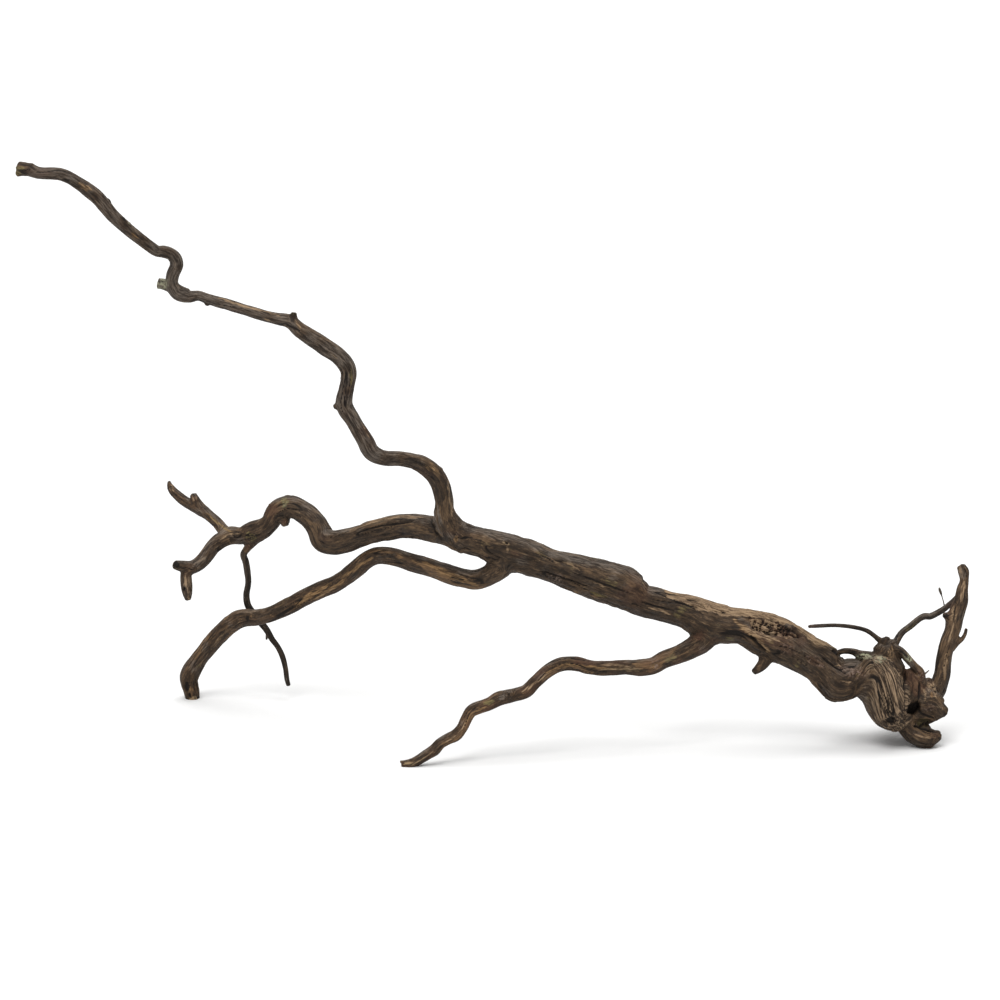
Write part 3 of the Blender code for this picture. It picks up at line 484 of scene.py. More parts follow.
# Each slot's bark, ridges and gold, and how much of it is worn
TONES = {
    "bark": ((0.029, 0.018, 0.0105), (0.080, 0.050, 0.029), (0.190, 0.117, 0.062), 0.64),
    "worn_bark": ((0.035, 0.021, 0.0115), (0.092, 0.055, 0.031), (0.240, 0.140, 0.066), 0.85),
    "dark_twig": ((0.019, 0.013, 0.009), (0.054, 0.038, 0.026), (0.115, 0.079, 0.048), 0.35),
}

# The same noise every run
RANDOM = np.random.RandomState(11)
SHUFFLE = RANDOM.permutation(256)
SLOPES = RANDOM.normal(size=(256, 3))
SLOPES /= np.linalg.norm(SLOPES, axis=1)[:, None]


def noise(points, seed):
    """Gradient noise, about -1 to 1, at rows of points."""
    cell = np.floor(points).astype(np.int64)
    part = points - cell
    ease = part**3 * (part * (part * 6.0 - 15.0) + 10.0)
    value = np.zeros(len(points))
    for corner in product((0, 1), repeat=3):
        index = cell + np.array(corner) + seed * 37
        pick = SHUFFLE[(SHUFFLE[(SHUFFLE[index[:, 0] & 255] + index[:, 1]) & 255] + index[:, 2]) & 255]
        rise = (SLOPES[pick] * (part - corner)).sum(axis=1)
        share = np.where(corner, ease, 1.0 - ease).prod(axis=1)
        value += rise * share
    return value * 1.6


def smooth(low, high, value):
    """0 below low, 1 above high, eased between them."""
    t = np.clip((value - low) / (high - low), 0.0, 1.0)
    return t * t * (3.0 - 2.0 * t)


def unit(rows):
    return rows / np.maximum(np.linalg.norm(rows, axis=1), 1e-9)[:, None]


def sight_to_world(stations):
    """Stations as the eye sees them, turned into rows of x, y, z and radius in the object's frame."""
    across, up, away, radius = np.array(stations, dtype=float).T
    spread = 1.0 + away / EYE_DISTANCE
    rise = up * spread
    x = across * spread - CENTRE_X
    y = away * math.cos(EYE_ELEVATION) + rise * math.sin(EYE_ELEVATION) - CENTRE_Y
    z = rise * math.cos(EYE_ELEVATION) - away * math.sin(EYE_ELEVATION) - FLOOR_Z
    return np.stack([x, y, z, radius * spread], axis=1)


def seen(points):
    """Where the eye sees each point: across and up, in millimetres."""
    x, y, z = (points + np.array([CENTRE_X, CENTRE_Y, FLOOR_Z])).T
    away = y * math.cos(EYE_ELEVATION) - z * math.sin(EYE_ELEVATION)
    rise = y * math.sin(EYE_ELEVATION) + z * math.cos(EYE_ELEVATION)
    spread = 1.0 + away / EYE_DISTANCE
    return x / spread, rise / spread


def line(stations, step):
    """Samples along a limb on a smooth curve: lengths, centres, radii and directions."""
    knots = sight_to_world(stations)
    runs = np.linalg.norm(np.diff(knots[:, :3], axis=0), axis=1)
    at = np.concatenate([[0.0], np.cumsum(runs)])
    low = np.maximum(np.arange(len(at)) - 1, 0)
    high = np.minimum(np.arange(len(at)) + 1, len(at) - 1)
    slopes = (knots[high] - knots[low]) / (at[high] - at[low])[:, None]
    lengths = np.linspace(0.0, at[-1], max(3, round(at[-1] / step) + 1))
    index = np.clip(np.searchsorted(at, lengths, side="right") - 1, 0, len(at) - 2)
    span = (at[index + 1] - at[index])[:, None]
    t = (lengths[:, None] - at[index][:, None]) / span
    p0, p1, m0, m1 = knots[index], knots[index + 1], slopes[index] * span, slopes[index + 1] * span
    value = (2 * t**3 - 3 * t**2 + 1) * (p0 - p1) + p1 + (t**3 - 2 * t**2 + t) * m0 + (t**3 - t**2) * m1
    rate = (6 * t**2 - 6 * t) * (p0 - p1) + (3 * t**2 - 4 * t + 1) * m0 + (3 * t**2 - 2 * t) * m1
    return lengths, value[:, :3], np.maximum(value[:, 3], 0.25), unit(rate[:, :3])


def frames(directions):
    """Two directions across a limb at each sample. The first one faces the front."""
    front = np.array([0.0, -1.0, 0.0])
    first = unit(front - directions * (directions @ front)[:, None])
    return first, np.cross(directions, first)


def swell(lobes, angle, length):
    """How much wider than its radius a limb is at an angle."""
    total = np.ones_like(angle)
    for share, count, start, turn in lobes:
        total = total + share * np.cos(count * angle + start + turn * length)
    return total


def loft(stations, lobes, sides, step, blunt=False):
    """Points and faces of a closed body along the stations."""
    lengths, centres, radii, directions = line(stations, step)
    if not blunt:
        rounding = [(ROUND_END * math.sin(turn), math.cos(turn) ** 0.8) for turn in (0.6, 1.1, 1.45)]
        tips = [centres[-1] + directions[-1] * radii[-1] * out for out, _ in rounding]
        centres = np.vstack([centres] + tips)
        radii = np.concatenate([radii, [radii[-1] * narrow for _, narrow in rounding]])
        directions = np.vstack([directions] + [directions[-1:]] * len(rounding))
        lengths = np.concatenate([lengths, [lengths[-1]] * len(rounding)])
    first, second = frames(directions)
    angles = np.linspace(0.0, 2.0 * math.pi, sides, endpoint=False)
    rings = len(lengths)
    angle, length = np.meshgrid(angles, lengths)
    reach = radii[:, None] * swell(lobes, angle, length)
    points = centres[:, None] + reach[..., None] * (
        first[:, None] * np.cos(angle)[..., None] + second[:, None] * np.sin(angle)[..., None]
    )
    faces = []
    for here in range(0, (rings - 1) * sides, sides):
        for k in range(sides):
            n = (k + 1) % sides
            faces.append((here + k, here + n, here + sides + n, here + sides + k))
    faces.append(tuple(reversed(range(sides))))
    faces.append(tuple(range((rings - 1) * sides, rings * sides)))
    return points.reshape(-1, 3), faces


def grow_limbs():
    """Each limb's samples, with how its grain runs on from what it grows from."""
    limbs = {}
    for name, stations, lobes, blend, parent, *own in LIMBS:
        node, begin = own or (limbs[parent]["node"], 0)
        lengths, centres, radii, directions = line(stations, SAMPLE_STEP)
        first, second = frames(directions)
        sense, offset = 1.0, 0.0
        if parent:
            carrier = limbs[parent]
            nearest = np.argmin(np.linalg.norm(carrier["centres"] - centres[0], axis=1))
            middle = len(directions) // 2
            sense = 1.0 if carrier["directions"][nearest] @ directions[middle] > 0 else -1.0
            sense *= carrier["sense"]
            offset = carrier["offset"] + carrier["sense"] * carrier["lengths"][nearest]
        limbs[name] = {
            "lengths": lengths, "centres": centres, "radii": radii, "directions": directions,
            "first": first, "second": second, "lobes": lobes, "blend": blend, "node": node,
            "begin": begin, "parent": parent, "sense": sense, "offset": offset, "blunt": name in BLUNT,
        }
    return limbs


def near_limb(limb, points):
    """Distance to a limb's own skin, the way out of it, and where round and along it points lie."""
    centres = limb["centres"]
    nearest = np.empty(len(points), dtype=np.int64)
    squares = (centres**2).sum(axis=1)
    for begin in range(0, len(points), BLOCK):
        block = points[begin:begin + BLOCK]
        nearest[begin:begin + BLOCK] = np.argmin(squares - 2.0 * block @ centres.T, axis=1)
    direction = limb["directions"][nearest]
    offset = points - centres[nearest]
    drift = (offset * direction).sum(axis=1)
    spacing = limb["lengths"][1]
    last = nearest == len(centres) - 1
    slide = np.clip(drift, -spacing, np.where(last, 0.0, spacing))
    length = limb["lengths"][nearest] + slide
    radius = np.interp(length, limb["lengths"], limb["radii"])
    x = (offset * limb["first"][nearest]).sum(axis=1)
    y = (offset * limb["second"][nearest]).sum(axis=1)
    angle = np.arctan2(y, x)
    reach = radius * swell(limb["lobes"], angle, length)
    beyond = drift - slide
    stretch = np.where(beyond > 0.0, 1.0 if limb["blunt"] else 1.0 / ROUND_END, 1.0 / ROUND_START)
    radial = offset - direction * drift[:, None]
    way = radial + direction * (beyond * stretch)[:, None]
    size = np.maximum(np.linalg.norm(way, axis=1), 1e-6)
    distance = size - reach
    way = way / size[:, None]
    if limb["blunt"]:
        flat = last & (beyond > 0.0)
        across = np.linalg.norm(radial, axis=1) - reach
        distance = np.where(flat, np.maximum(across, beyond), distance)
        way = np.where((flat & (beyond > across))[:, None], direction, way)
    grain = np.stack([x, y * limb["sense"], limb["offset"] + limb["sense"] * length], axis=1)
    return distance, way, grain, radius, length


def survey(limbs, points):
    """The grown-together skin near each point: distance, way out, grain, radius and owner."""
    count = len(points)
    skin = {
        "distance": np.full(count, FAR),
        "way": np.zeros((count, 3)),
        "grain": np.zeros((count, 3)),
        "radius": np.ones(count),
        "closest": np.full(count, FAR),
        "owner": np.zeros(count, dtype=np.int64),
        "length": np.zeros(count),
    }
    for number, limb in enumerate(limbs.values()):
        reach = limb["radii"].max() * 1.2 + MARGIN
        low = limb["centres"].min(axis=0) - reach
        high = limb["centres"].max(axis=0) + reach
        near = np.nonzero(((points > low) & (points < high)).all(axis=1))[0]
        distance, way, grain, radius, length = near_limb(limb, points[near])
        k = limb["blend"]
        old = skin["distance"][near]
        share = np.clip(0.5 + 0.5 * (old - distance) / k, 0.0, 1.0)
        skin["distance"][near] = old + (distance - old) * share - k * share * (1.0 - share)
        wide = share[:, None]
        skin["way"][near] = skin["way"][near] * (1.0 - wide) + way * wide
        skin["grain"][near] = skin["grain"][near] * (1.0 - wide) + grain * wide
        skin["radius"][near] = skin["radius"][near] * (1.0 - share) + radius * share
        closer = distance < skin["closest"][near]
        chosen = near[closer]
        skin["closest"][chosen] = distance[closer]
        skin["owner"][chosen] = number
        skin["length"][chosen] = length[closer]
    skin["way"] = unit(skin["way"])
    return skin


def add_object(name, data):
    body = bpy.data.objects.new(name, data)
    bpy.context.scene.collection.objects.link(body)
    return body


def mesh_arrays(mesh):
    points = np.empty(len(mesh.vertices) * 3)
    mesh.vertices.foreach_get("co", points)
    corners = np.empty(len(mesh.loops), dtype=np.int64)
    mesh.loops.foreach_get("vertex_index", corners)
    return points.reshape(-1, 3), corners


def cast():
    """All the limbs joined into one closed skin of even squares, in millimetres."""
    points, faces, count = [], [], 0
    for name, stations, lobes, *_ in LIMBS:
        part, part_faces = loft(stations, lobes, RING_SIDES, RING_STEP, name in BLUNT)
        points.append(part)
        faces += [tuple(corner + count for corner in face) for face in part_faces]
        count += len(part)
    mesh = bpy.data.meshes.new("cast")
    mesh.from_pydata(np.vstack(points).tolist(), [], faces)
    body = add_object("cast", mesh)
    remesh = body.modifiers.new("grow together", "REMESH")
    remesh.mode = "VOXEL"
    remesh.voxel_size = VOXEL
    evaluated = body.evaluated_get(bpy.context.evaluated_depsgraph_get())
    solid = bpy.data.meshes.new_from_object(evaluated)
    skin_points, corners = mesh_arrays(solid)
    quads = corners.reshape(-1, 4)
    label = islands(quads, np.zeros(len(quads), dtype=np.int64), len(skin_points))
    quads = quads[label == np.argmax(np.bincount(label))]
    used, quads = np.unique(quads, return_inverse=True)
    skin_points, quads = skin_points[used], quads.reshape(-1, 4)
    bpy.data.objects.remove(body, do_unlink=True)
    bpy.data.meshes.remove(mesh)
    bpy.data.meshes.remove(solid)
    return skin_points, quads


def spot(place, points_seen, along, across, turn):
    """How far inside an oval each point is, as the eye sees it: 1 in the middle, 0 at the edge."""
    a = points_seen[0] - place[0]
    b = points_seen[1] - place[1]
    cosine, sine = math.cos(math.radians(turn)), math.sin(math.radians(turn))
    u = (a * cosine + b * sine) / along
    v = (b * cosine - a * sine) / across
    return np.clip(1.0 - np.sqrt(u * u + v * v), 0.0, 1.0)


def stroke(route, points_seen, width):
    """1 on a drawn line that thins out to its ends, as the eye sees it, and 0 at its width from it."""
    here = np.stack(points_seen, axis=1)
    nearest = np.full(len(here), 1e3)
    corners = np.array(route)
    runs = np.diff(corners, axis=0)
    lengths = np.linalg.norm(runs, axis=1)
    done = 0.0
    for start, run, length in zip(corners, runs, lengths):
        t = np.clip(((here - start) @ run) / length**2, 0.0, 1.0)
        at = (done + t * length) / lengths.sum()
        thin = 0.3 + 0.7 * np.minimum(1.0, 4.0 * np.minimum(at, 1.0 - at))
        nearest = np.minimum(nearest, np.linalg.norm(here - start - t[:, None] * run, axis=1) / thin)
        done += length
    return np.clip(1.0 - nearest / width, 0.0, 1.0)


def cells(flat, seed):
    """How far inside a cell of an uneven net each point is, and that cell's own number, both 0 to 1."""
    home = np.floor(flat).astype(np.int64)
    first = np.full(len(flat), 9.0)
    second = np.full(len(flat), 9.0)
    number = np.zeros(len(flat))
    for step in product((-1, 0, 1), repeat=2):
        cell = home + np.array(step)
        pick = SHUFFLE[(SHUFFLE[(cell[:, 0] + seed) & 255] + cell[:, 1]) & 255]
        jitter = 0.5 + 0.32 * np.clip(SLOPES[pick, :2], -1.4, 1.4)
        gap = np.linalg.norm(cell + jitter - flat, axis=1)
        number = np.where(gap < first, pick / 255.0, number)
        second = np.minimum(second, np.maximum(first, gap))
        first = np.minimum(first, gap)
    return np.clip((second - first) * 1.6, 0.0, 1.0), number


def carve(limbs, points, skin, lie):
    """How far each point moves out of the smooth skin, and what covers it there.

    Moves and the sizes of noise are in millimetres. A noise's last number picks its pattern.
    """
    names = list(limbs)
    grain, radius, way, owner = skin["grain"], skin["radius"], skin["way"], skin["owner"]
    view = seen(points)
    across, up = view
    toward_eye = np.array([0.0, -math.cos(EYE_ELEVATION), math.sin(EYE_ELEVATION)])
    facing = way @ toward_eye
    front = smooth(0.0, 0.25, facing)
    size = np.clip(radius / 10.0, 0.1, 1.15)

    def on(*these):
        """Where the nearest limb is one of these."""
        return np.isin(owner, [names.index(name) for name in these])

    def fibrous(wide, long, seed):
        """Noise drawn out along the grain."""
        return noise(grain * np.array([1 / wide, 1 / wide, 1 / long]), seed)

    def lay(name, amount):
        """Cover at least this much."""
        cover[name] = np.maximum(cover[name], amount)

    on_trunk = on("trunk")
    on_swirl = on("swirl", "back_lump")
    calm = np.where(on_swirl, 0.45, 1.0)
    coarse = fibrous(5.0, 28.0, 1) * calm
    ribs = fibrous(2.6, 14.0, 2) * calm
    fibres = fibrous(1.5, 6.5, 3)
    scale = smooth(-0.06, 0.08, fibrous(3.4, 9.0, 21)) * calm
    gnarl = noise(points / 13.0, 4) + 0.6 * noise(points / 6.5, 5)
    edge = noise(points / 2.2, 12)
    move = 0.36 * size * coarse + 0.24 * size * ribs + 0.14 * np.minimum(size * 1.6, 1.0) * fibres
    move += 0.42 * size * gnarl + 0.24 * size * (scale - 0.5)

    crack_line = np.abs(fibrous(4.4, 42.0, 6))
    crack_here = smooth(0.0, 0.35, fibrous(9.0, 30.0, 7))
    crack = (1.0 - smooth(0.0, 0.08, crack_line)) * crack_here
    move -= 0.9 * size * crack

    plate = fibrous(7.0, 26.0, 8) + 0.25 * fibrous(1.5, 6.5, 9)
    plate -= np.where(on_trunk, 0.20, np.where(on("upright"), -0.04, 0.12))
    worn = smooth(0.05, 0.40, plate)
    move -= 0.34 * size * worn

    cover = {name: np.zeros(len(points)) for name in COVERS}
    cover["worn"] += worn
    # Painted shade: the cracks are darkened
    cover["dark"] += crack * 0.85
    cover["red"] += smooth(0.30, 0.75, noise(points / 17.0, 10)) * 0.55
    cover["ash_and_sheen"] += smooth(0.15, 0.7, noise(points / 11.0, 13)) * 0.4
    cover["moss"] += smooth(0.45, 0.85, noise(points / 9.0, 14)) * 0.4

    # The root crown is all fibre, wound round its lumps. One lump and the front branch are redder
    wound = fibrous(1.2, 24.0, 15) + 0.7 * fibrous(3.0, 30.0, 26)
    strand = np.where(on_swirl, 1.0, 0.0) * smooth(0.0, 0.8, radius / 6.0)
    strand *= 1.0 - front * (1.0 - smooth(216.0, 230.0, across + 4.0 * gnarl + 1.5 * edge))
    move += strand * 0.32 * wound
    cover["strand"] = strand
    cover["red"] += np.where(on("red_lump"), 0.75, 0.0)
    cover["red"] += np.where(on("front"), 0.55 * smooth(0.0, 0.5, noise(points / 9.0, 29)), 0.0)

    # Bare wood along the trunk's top, under the edge of the bark
    strip_up = np.interp(across, *zip(*STRIP_EDGE))
    angle = np.degrees(np.arctan2(grain[:, 1], grain[:, 0]))
    torn = across + 4.0 * fibrous(4.0, 40.0, 25)
    torn -= 0.10 * np.abs(angle + 95.0) * (facing < 0.1)
    reach = smooth(93.0, 101.0, torn) * (1.0 - smooth(196.0, 203.0, torn))
    before = smooth(-0.35, 0.35, up - strip_up + 0.9 * edge)
    behind = smooth(-158.0, -150.0, angle + 10.0 * edge) * (angle < 0.0)
    strip = np.where(facing > 0.0, before, behind) * reach * on_trunk
    move -= strip * (0.75 - 0.35 * smooth(165.0, 185.0, across))
    fade = 1.0 - 0.38 * smooth(168.0, 186.0, across)
    lay("bare", strip * fade)
    cover["worn"] *= 1.0 - strip
    cover["moss"] += strip * smooth(170.0, 186.0, across) * 0.5

    # Two bark plates that end in a broken step
    ridge = smooth(0.25, 0.75, np.cos(np.radians(angle + 100.0))) * on_trunk
    broken = across + 1.3 * edge
    step = smooth(56.0, 78.0, across) * (1.0 - smooth(85.0, 86.0, broken))
    dip = smooth(85.0, 86.0, broken) * (1.0 - smooth(88.0, 96.0, across))
    move += ridge * (0.9 * step - 0.5 * dip)
    step = smooth(184.0, 195.0, across) * (1.0 - smooth(201.0, 201.8, broken))
    move += smooth(0.70, 0.95, np.cos(np.radians(angle + 95.0))) * on_trunk * 2.2 * step

    # The worm-eaten hollow: carved cells in a net of bare fibre. The empty cells are darkened as painted
    # shade, more to the right, and the fibre is paler to the left as painted light
    middle, half_length, half_width, turn = HOLLOW
    inside = spot(middle, view, half_length, half_width, turn) * np.where(facing > 0.1, 1.0, 0.0)
    ragged = 0.10 * edge + 0.24 * noise(points / 5.0, 18)
    inside = smooth(0.04, 0.30, inside + ragged * (inside > 0.0))
    slope = math.radians(turn)
    lengthwise = (across * math.cos(slope) + up * math.sin(slope)) / (HOLLOW_CELL * 1.4)
    crosswise = (up * math.cos(slope) - across * math.sin(slope)) / HOLLOW_CELL
    warp = np.stack([noise(points / 3.4, 19), noise(points / 3.4, 20)], axis=1)
    within, number = cells(np.stack([lengthwise, crosswise], axis=1) + 0.5 * warp, 3)
    shut = 0.16 + 0.22 * noise(points / 6.0, 24)
    empty = smooth(0.08, 0.42, within) * smooth(shut, shut + 0.15, number)
    move -= inside * (1.0 + 1.7 * empty)
    deep = 0.42 + 0.20 * smooth(155.0, 170.0, across)
    cover["dark"] = np.maximum(cover["dark"] * (1.0 - inside), inside * (0.06 + deep * empty))
    lay("red", inside * 0.9)
    sunlit = 0.80 - 0.45 * smooth(155.0, 172.0, across)
    cover["bare"] = np.maximum(cover["bare"] * (1.0 - inside), inside * (1.0 - empty) * sunlit)

    drawn = (across + 0.5 * noise(points / 3.6, 22), up + 0.5 * noise(points / 3.6, 23))
    for place, along, wide, turn, height, covers in SPOTS:
        share = spot(place, drawn, along, wide, turn) * front
        lift = smooth(0.02, 0.45, share + 0.26 * edge * (share > 0.0))
        soft = smooth(0.0, 0.72, share + (0.36 * edge + 0.24 * fibres) * (share > 0.0))
        move += lift * height
        for name, amount in covers.items():
            held = lift if name == "dark" else soft
            lay(name, held * amount)
    for route, wide, height, covers in STROKES:
        share = stroke(route, drawn, wide + 0.3) * front
        move += smooth(0.0, 0.8, share) * height
        for name, amount in covers.items():
            lay(name, share * amount)
    move += 0.35 * cover["rough"] * noise(points / 1.7, 16)
    # Relief: the carved height of grain, cracks and strands, whose low parts the material darkens as
    # painted shade
    relief = 0.5 + 0.28 * ribs + 0.30 * fibres + 0.12 * coarse - 0.5 * crack + 0.16 * (scale - 0.5)
    cover["relief"] = relief + strand * 0.40 * wound
    # Painted shade: faces that point down are darkened in the material
    cover["under"] = 1.0 - smooth(-0.75, 0.35, lie[:, 2])
    # Painted sheen: faces that point up are greyed and lightened, over the real grey patches
    sheen = 0.48 + 0.30 * noise(points / 7.0, 28)
    lay("ash_and_sheen", sheen * smooth(0.40, 0.95, lie[:, 2]) * (1.0 - strip))
    weathered = smooth(25.0, 75.0, -across) * on("upper", "upper_bud")
    lay("ash_and_sheen", weathered * (0.40 + 0.34 * noise(points / 8.0, 27)))
    for name in cover:
        cover[name] = np.clip(cover[name], 0.0, 1.0)
    return move, cover


def split(limbs, points, quads, skin):
    """The node that each face belongs to. Loose patches go to the trunk."""
    names = list(limbs)
    nodes = sorted(set(SLOTS))
    belongs = np.empty(len(points), dtype=np.int64)
    for number, name in enumerate(names):
        limb = limbs[name]
        chosen = skin["owner"] == number
        begun = skin["length"] >= limb["begin"]
        home = limbs[limb["parent"]]["node"] if limb["parent"] else limb["node"]
        belongs[chosen & begun] = nodes.index(limb["node"])
        belongs[chosen & ~begun] = nodes.index(home)
    corners = belongs[quads]
    face_node = np.sort(corners, axis=1)[:, 1]
    return nodes, settle(nodes, quads, face_node, len(points))


def settle(nodes, quads, face_node, count):
    """Give small islands of faces to the node around them."""
    for _ in range(4):
        label = islands(quads, face_node, count)
        sizes = np.bincount(label)
        keep = np.zeros(len(sizes), dtype=bool)
        for node in range(len(nodes)):
            here = np.unique(label[face_node == node])
            if len(here):
                keep[here[np.argmax(sizes[here])]] = True
        loose = ~keep[label]
        if not loose.any():
            break
        around = np.full(count, -1)
        fixed = ~loose
        for column in range(4):
            around[quads[fixed, column]] = face_node[fixed]
        guess = around[quads[loose]].max(axis=1)
        face_node[loose] = np.where(guess >= 0, guess, nodes.index("trunk"))
    return face_node


def islands(quads, face_node, count):
    """A number for each connected patch of faces of one node."""
    label = np.arange(len(quads))
    edges = np.vstack([quads[:, [k, (k + 1) % 4]] for k in range(4)])
    owner = np.tile(np.arange(len(quads)), 4)
    key = np.sort(edges, axis=1) @ np.array([count, 1])
    order = np.argsort(key, kind="stable")
    same = key[order][1:] == key[order][:-1]
    left, right = owner[order][:-1][same], owner[order][1:][same]
    match = face_node[left] == face_node[right]
    left, right = left[match], right[match]
    while True:
        low = np.minimum(label[left], label[right])
        before = label.copy()
        np.minimum.at(label, left, low)
        np.minimum.at(label, right, low)
        label = label[label]
        if (label == before).all():
            break
    return np.unique(label, return_inverse=True)[1]


def vertex_normals(points, quads):
    a, b, c, d = points[quads.T]
    across = np.cross(c - a, d - b)
    total = np.zeros_like(points)
    for column in range(4):
        np.add.at(total, quads[:, column], across)
    return unit(total)


def rims(faces):
    """The open edges of a patch of faces, as closed loops of points in order."""
    edges = {}
    for face in faces:
        for k in range(len(face)):
            edges[(face[k], face[(k + 1) % len(face)])] = True
    following = {}
    for start, end in edges:
        if (end, start) not in edges:
            following.setdefault(end, []).append(start)
    loops = []
    while following:
        start = next(iter(following))
        loop = [start]
        current = following[start].pop()
        if not following[start]:
            del following[start]
        while current != start:
            loop.append(current)
            step = following[current].pop()
            if not following[current]:
                del following[current]
            current = step
        loops.append(loop)
    return loops


def piece(name, points, quads, normals, cover, material, slivers):
    """One closed piece of the skin. Where it was cut from its neighbours it gets a cap."""
    used, local = np.unique(quads, return_inverse=True)
    faces = local.reshape(-1, 4).tolist()
    corners = (points[used] * MM).tolist()
    piece_normals = normals[used].tolist()
    values = {key: value[used] for key, value in cover.items()}
    for loop in rims(faces):
        middle = np.mean([corners[k] for k in loop], axis=0)
        centre = len(corners)
        corners.append(middle.tolist())
        piece_normals.append([0.0, 0.0, 0.0])
        for key in values:
            values[key] = np.concatenate([values[key], values[key][loop[:1]]])
        for k in range(len(loop)):
            faces.append([loop[k], loop[(k + 1) % len(loop)], centre])
    for stations in slivers:
        thin, thin_faces = loft(stations, PLAIN, SLIVER_SIDES, SLIVER_STEP)
        faces += [[corner + len(corners) for corner in face] for face in thin_faces]
        corners += (thin * MM).tolist()
        piece_normals += [[0.0, 0.0, 0.0]] * len(thin)
        for key in values:
            amount = np.full(len(thin), 0.5 if key in ("relief", "ash_and_sheen") else 0.0)
            values[key] = np.concatenate([values[key], thin if key == "grain" else amount])
    mesh = bpy.data.meshes.new(name)
    mesh.from_pydata(corners, [], faces)
    for key, value in values.items():
        if value.ndim == 2:
            layer = mesh.attributes.new(key, "FLOAT_VECTOR", "POINT")
            layer.data.foreach_set("vector", value.ravel())
        else:
            layer = mesh.attributes.new(key, "FLOAT", "POINT")
            layer.data.foreach_set("value", value)
    mesh.shade_smooth()
    mesh.normals_split_custom_set_from_vertices(piece_normals)
    mesh.materials.append(material)
    return add_object(name, mesh)


class Nodes:
    """Short ways to add and join the nodes of a material."""

    def __init__(self, material):
        material.use_nodes = True
        self.tree = material.node_tree
        self.shader = self.tree.nodes["Principled BSDF"]

    def add(self, kind, **settings):
        node = self.tree.nodes.new(kind)
        for key, value in settings.items():
            setattr(node, key, value)
        return node

    def join(self, source, target):
        self.tree.links.new(source, target)

    def mask(self, name):
        return self.add("ShaderNodeAttribute", attribute_name=name).outputs["Fac"]

    def place(self, name, scale):
        """A vector attribute, scaled by its own share on each axis."""
        source = self.add("ShaderNodeAttribute", attribute_name=name).outputs["Vector"]
        stretch = self.add("ShaderNodeVectorMath", operation="MULTIPLY")
        stretch.inputs[1].default_value = scale
        self.join(source, stretch.inputs[0])
        return stretch.outputs["Vector"]

    def noise(self, vector, scale, detail, rough):
        node = self.add("ShaderNodeTexNoise")
        node.inputs["Scale"].default_value = scale
        node.inputs["Detail"].default_value = detail
        node.inputs["Roughness"].default_value = rough
        self.join(vector, node.inputs["Vector"])
        return node.outputs["Fac"]

    def ramp(self, value, low, high):
        node = self.add("ShaderNodeMapRange", interpolation_type="SMOOTHSTEP")
        node.inputs["From Min"].default_value = low
        node.inputs["From Max"].default_value = high
        self.join(value, node.inputs["Value"])
        return node.outputs["Result"]

    def math(self, operation, first, second):
        node = self.add("ShaderNodeMath", operation=operation)
        for socket, value in zip(node.inputs, (first, second)):
            if isinstance(value, float):
                socket.default_value = value
            else:
                self.join(value, socket)
        return node.outputs["Value"]

    def times(self, first, second):
        return self.math("MULTIPLY", first, second)

    def torn(self, name, grit, share):
        """Where a cover holds, with an edge that is torn along the grain."""
        held = self.ramp(self.math("ADD", self.mask(name), grit), 1.16, 1.62)
        return self.times(held, share)

    def blend(self, share, first, second):
        """Colour mixed by a share; a colour may be a tuple or another node's output."""
        node = self.add("ShaderNodeMix", data_type="RGBA")
        self.join(share, node.inputs["Factor"])
        for socket, value in ((node.inputs[6], first), (node.inputs[7], second)):
            if isinstance(value, tuple):
                socket.default_value = (*value, 1.0)
            else:
                self.join(value, socket)
        return node.outputs[2]


# Colours that all the wood shares
SOOT = (0.010, 0.0065, 0.0045)
PIT = (0.006, 0.004, 0.003)
GROOVE_SHADE = (0.009, 0.006, 0.004)
SHADE = (0.010, 0.0065, 0.004)
DUST = (0.090, 0.070, 0.054)
RUST = (0.125, 0.056, 0.034)
SPECK = (0.27, 0.19, 0.150)
LICHEN = (0.42, 0.42, 0.28)
FRESH_CUT = (0.34, 0.235, 0.130)

# Dark and light tones of streaked covers
ASH_AND_SHEEN = ((0.070, 0.056, 0.045), (0.215, 0.182, 0.152))
GOLD = ((0.080, 0.044, 0.019), (0.30, 0.180, 0.082))
MOSS = ((0.060, 0.048, 0.020), (0.21, 0.165, 0.068))
BARE = ((0.095, 0.058, 0.032), (0.36, 0.245, 0.145))
STRANDS = ((0.024, 0.014, 0.008), (0.420, 0.292, 0.182))


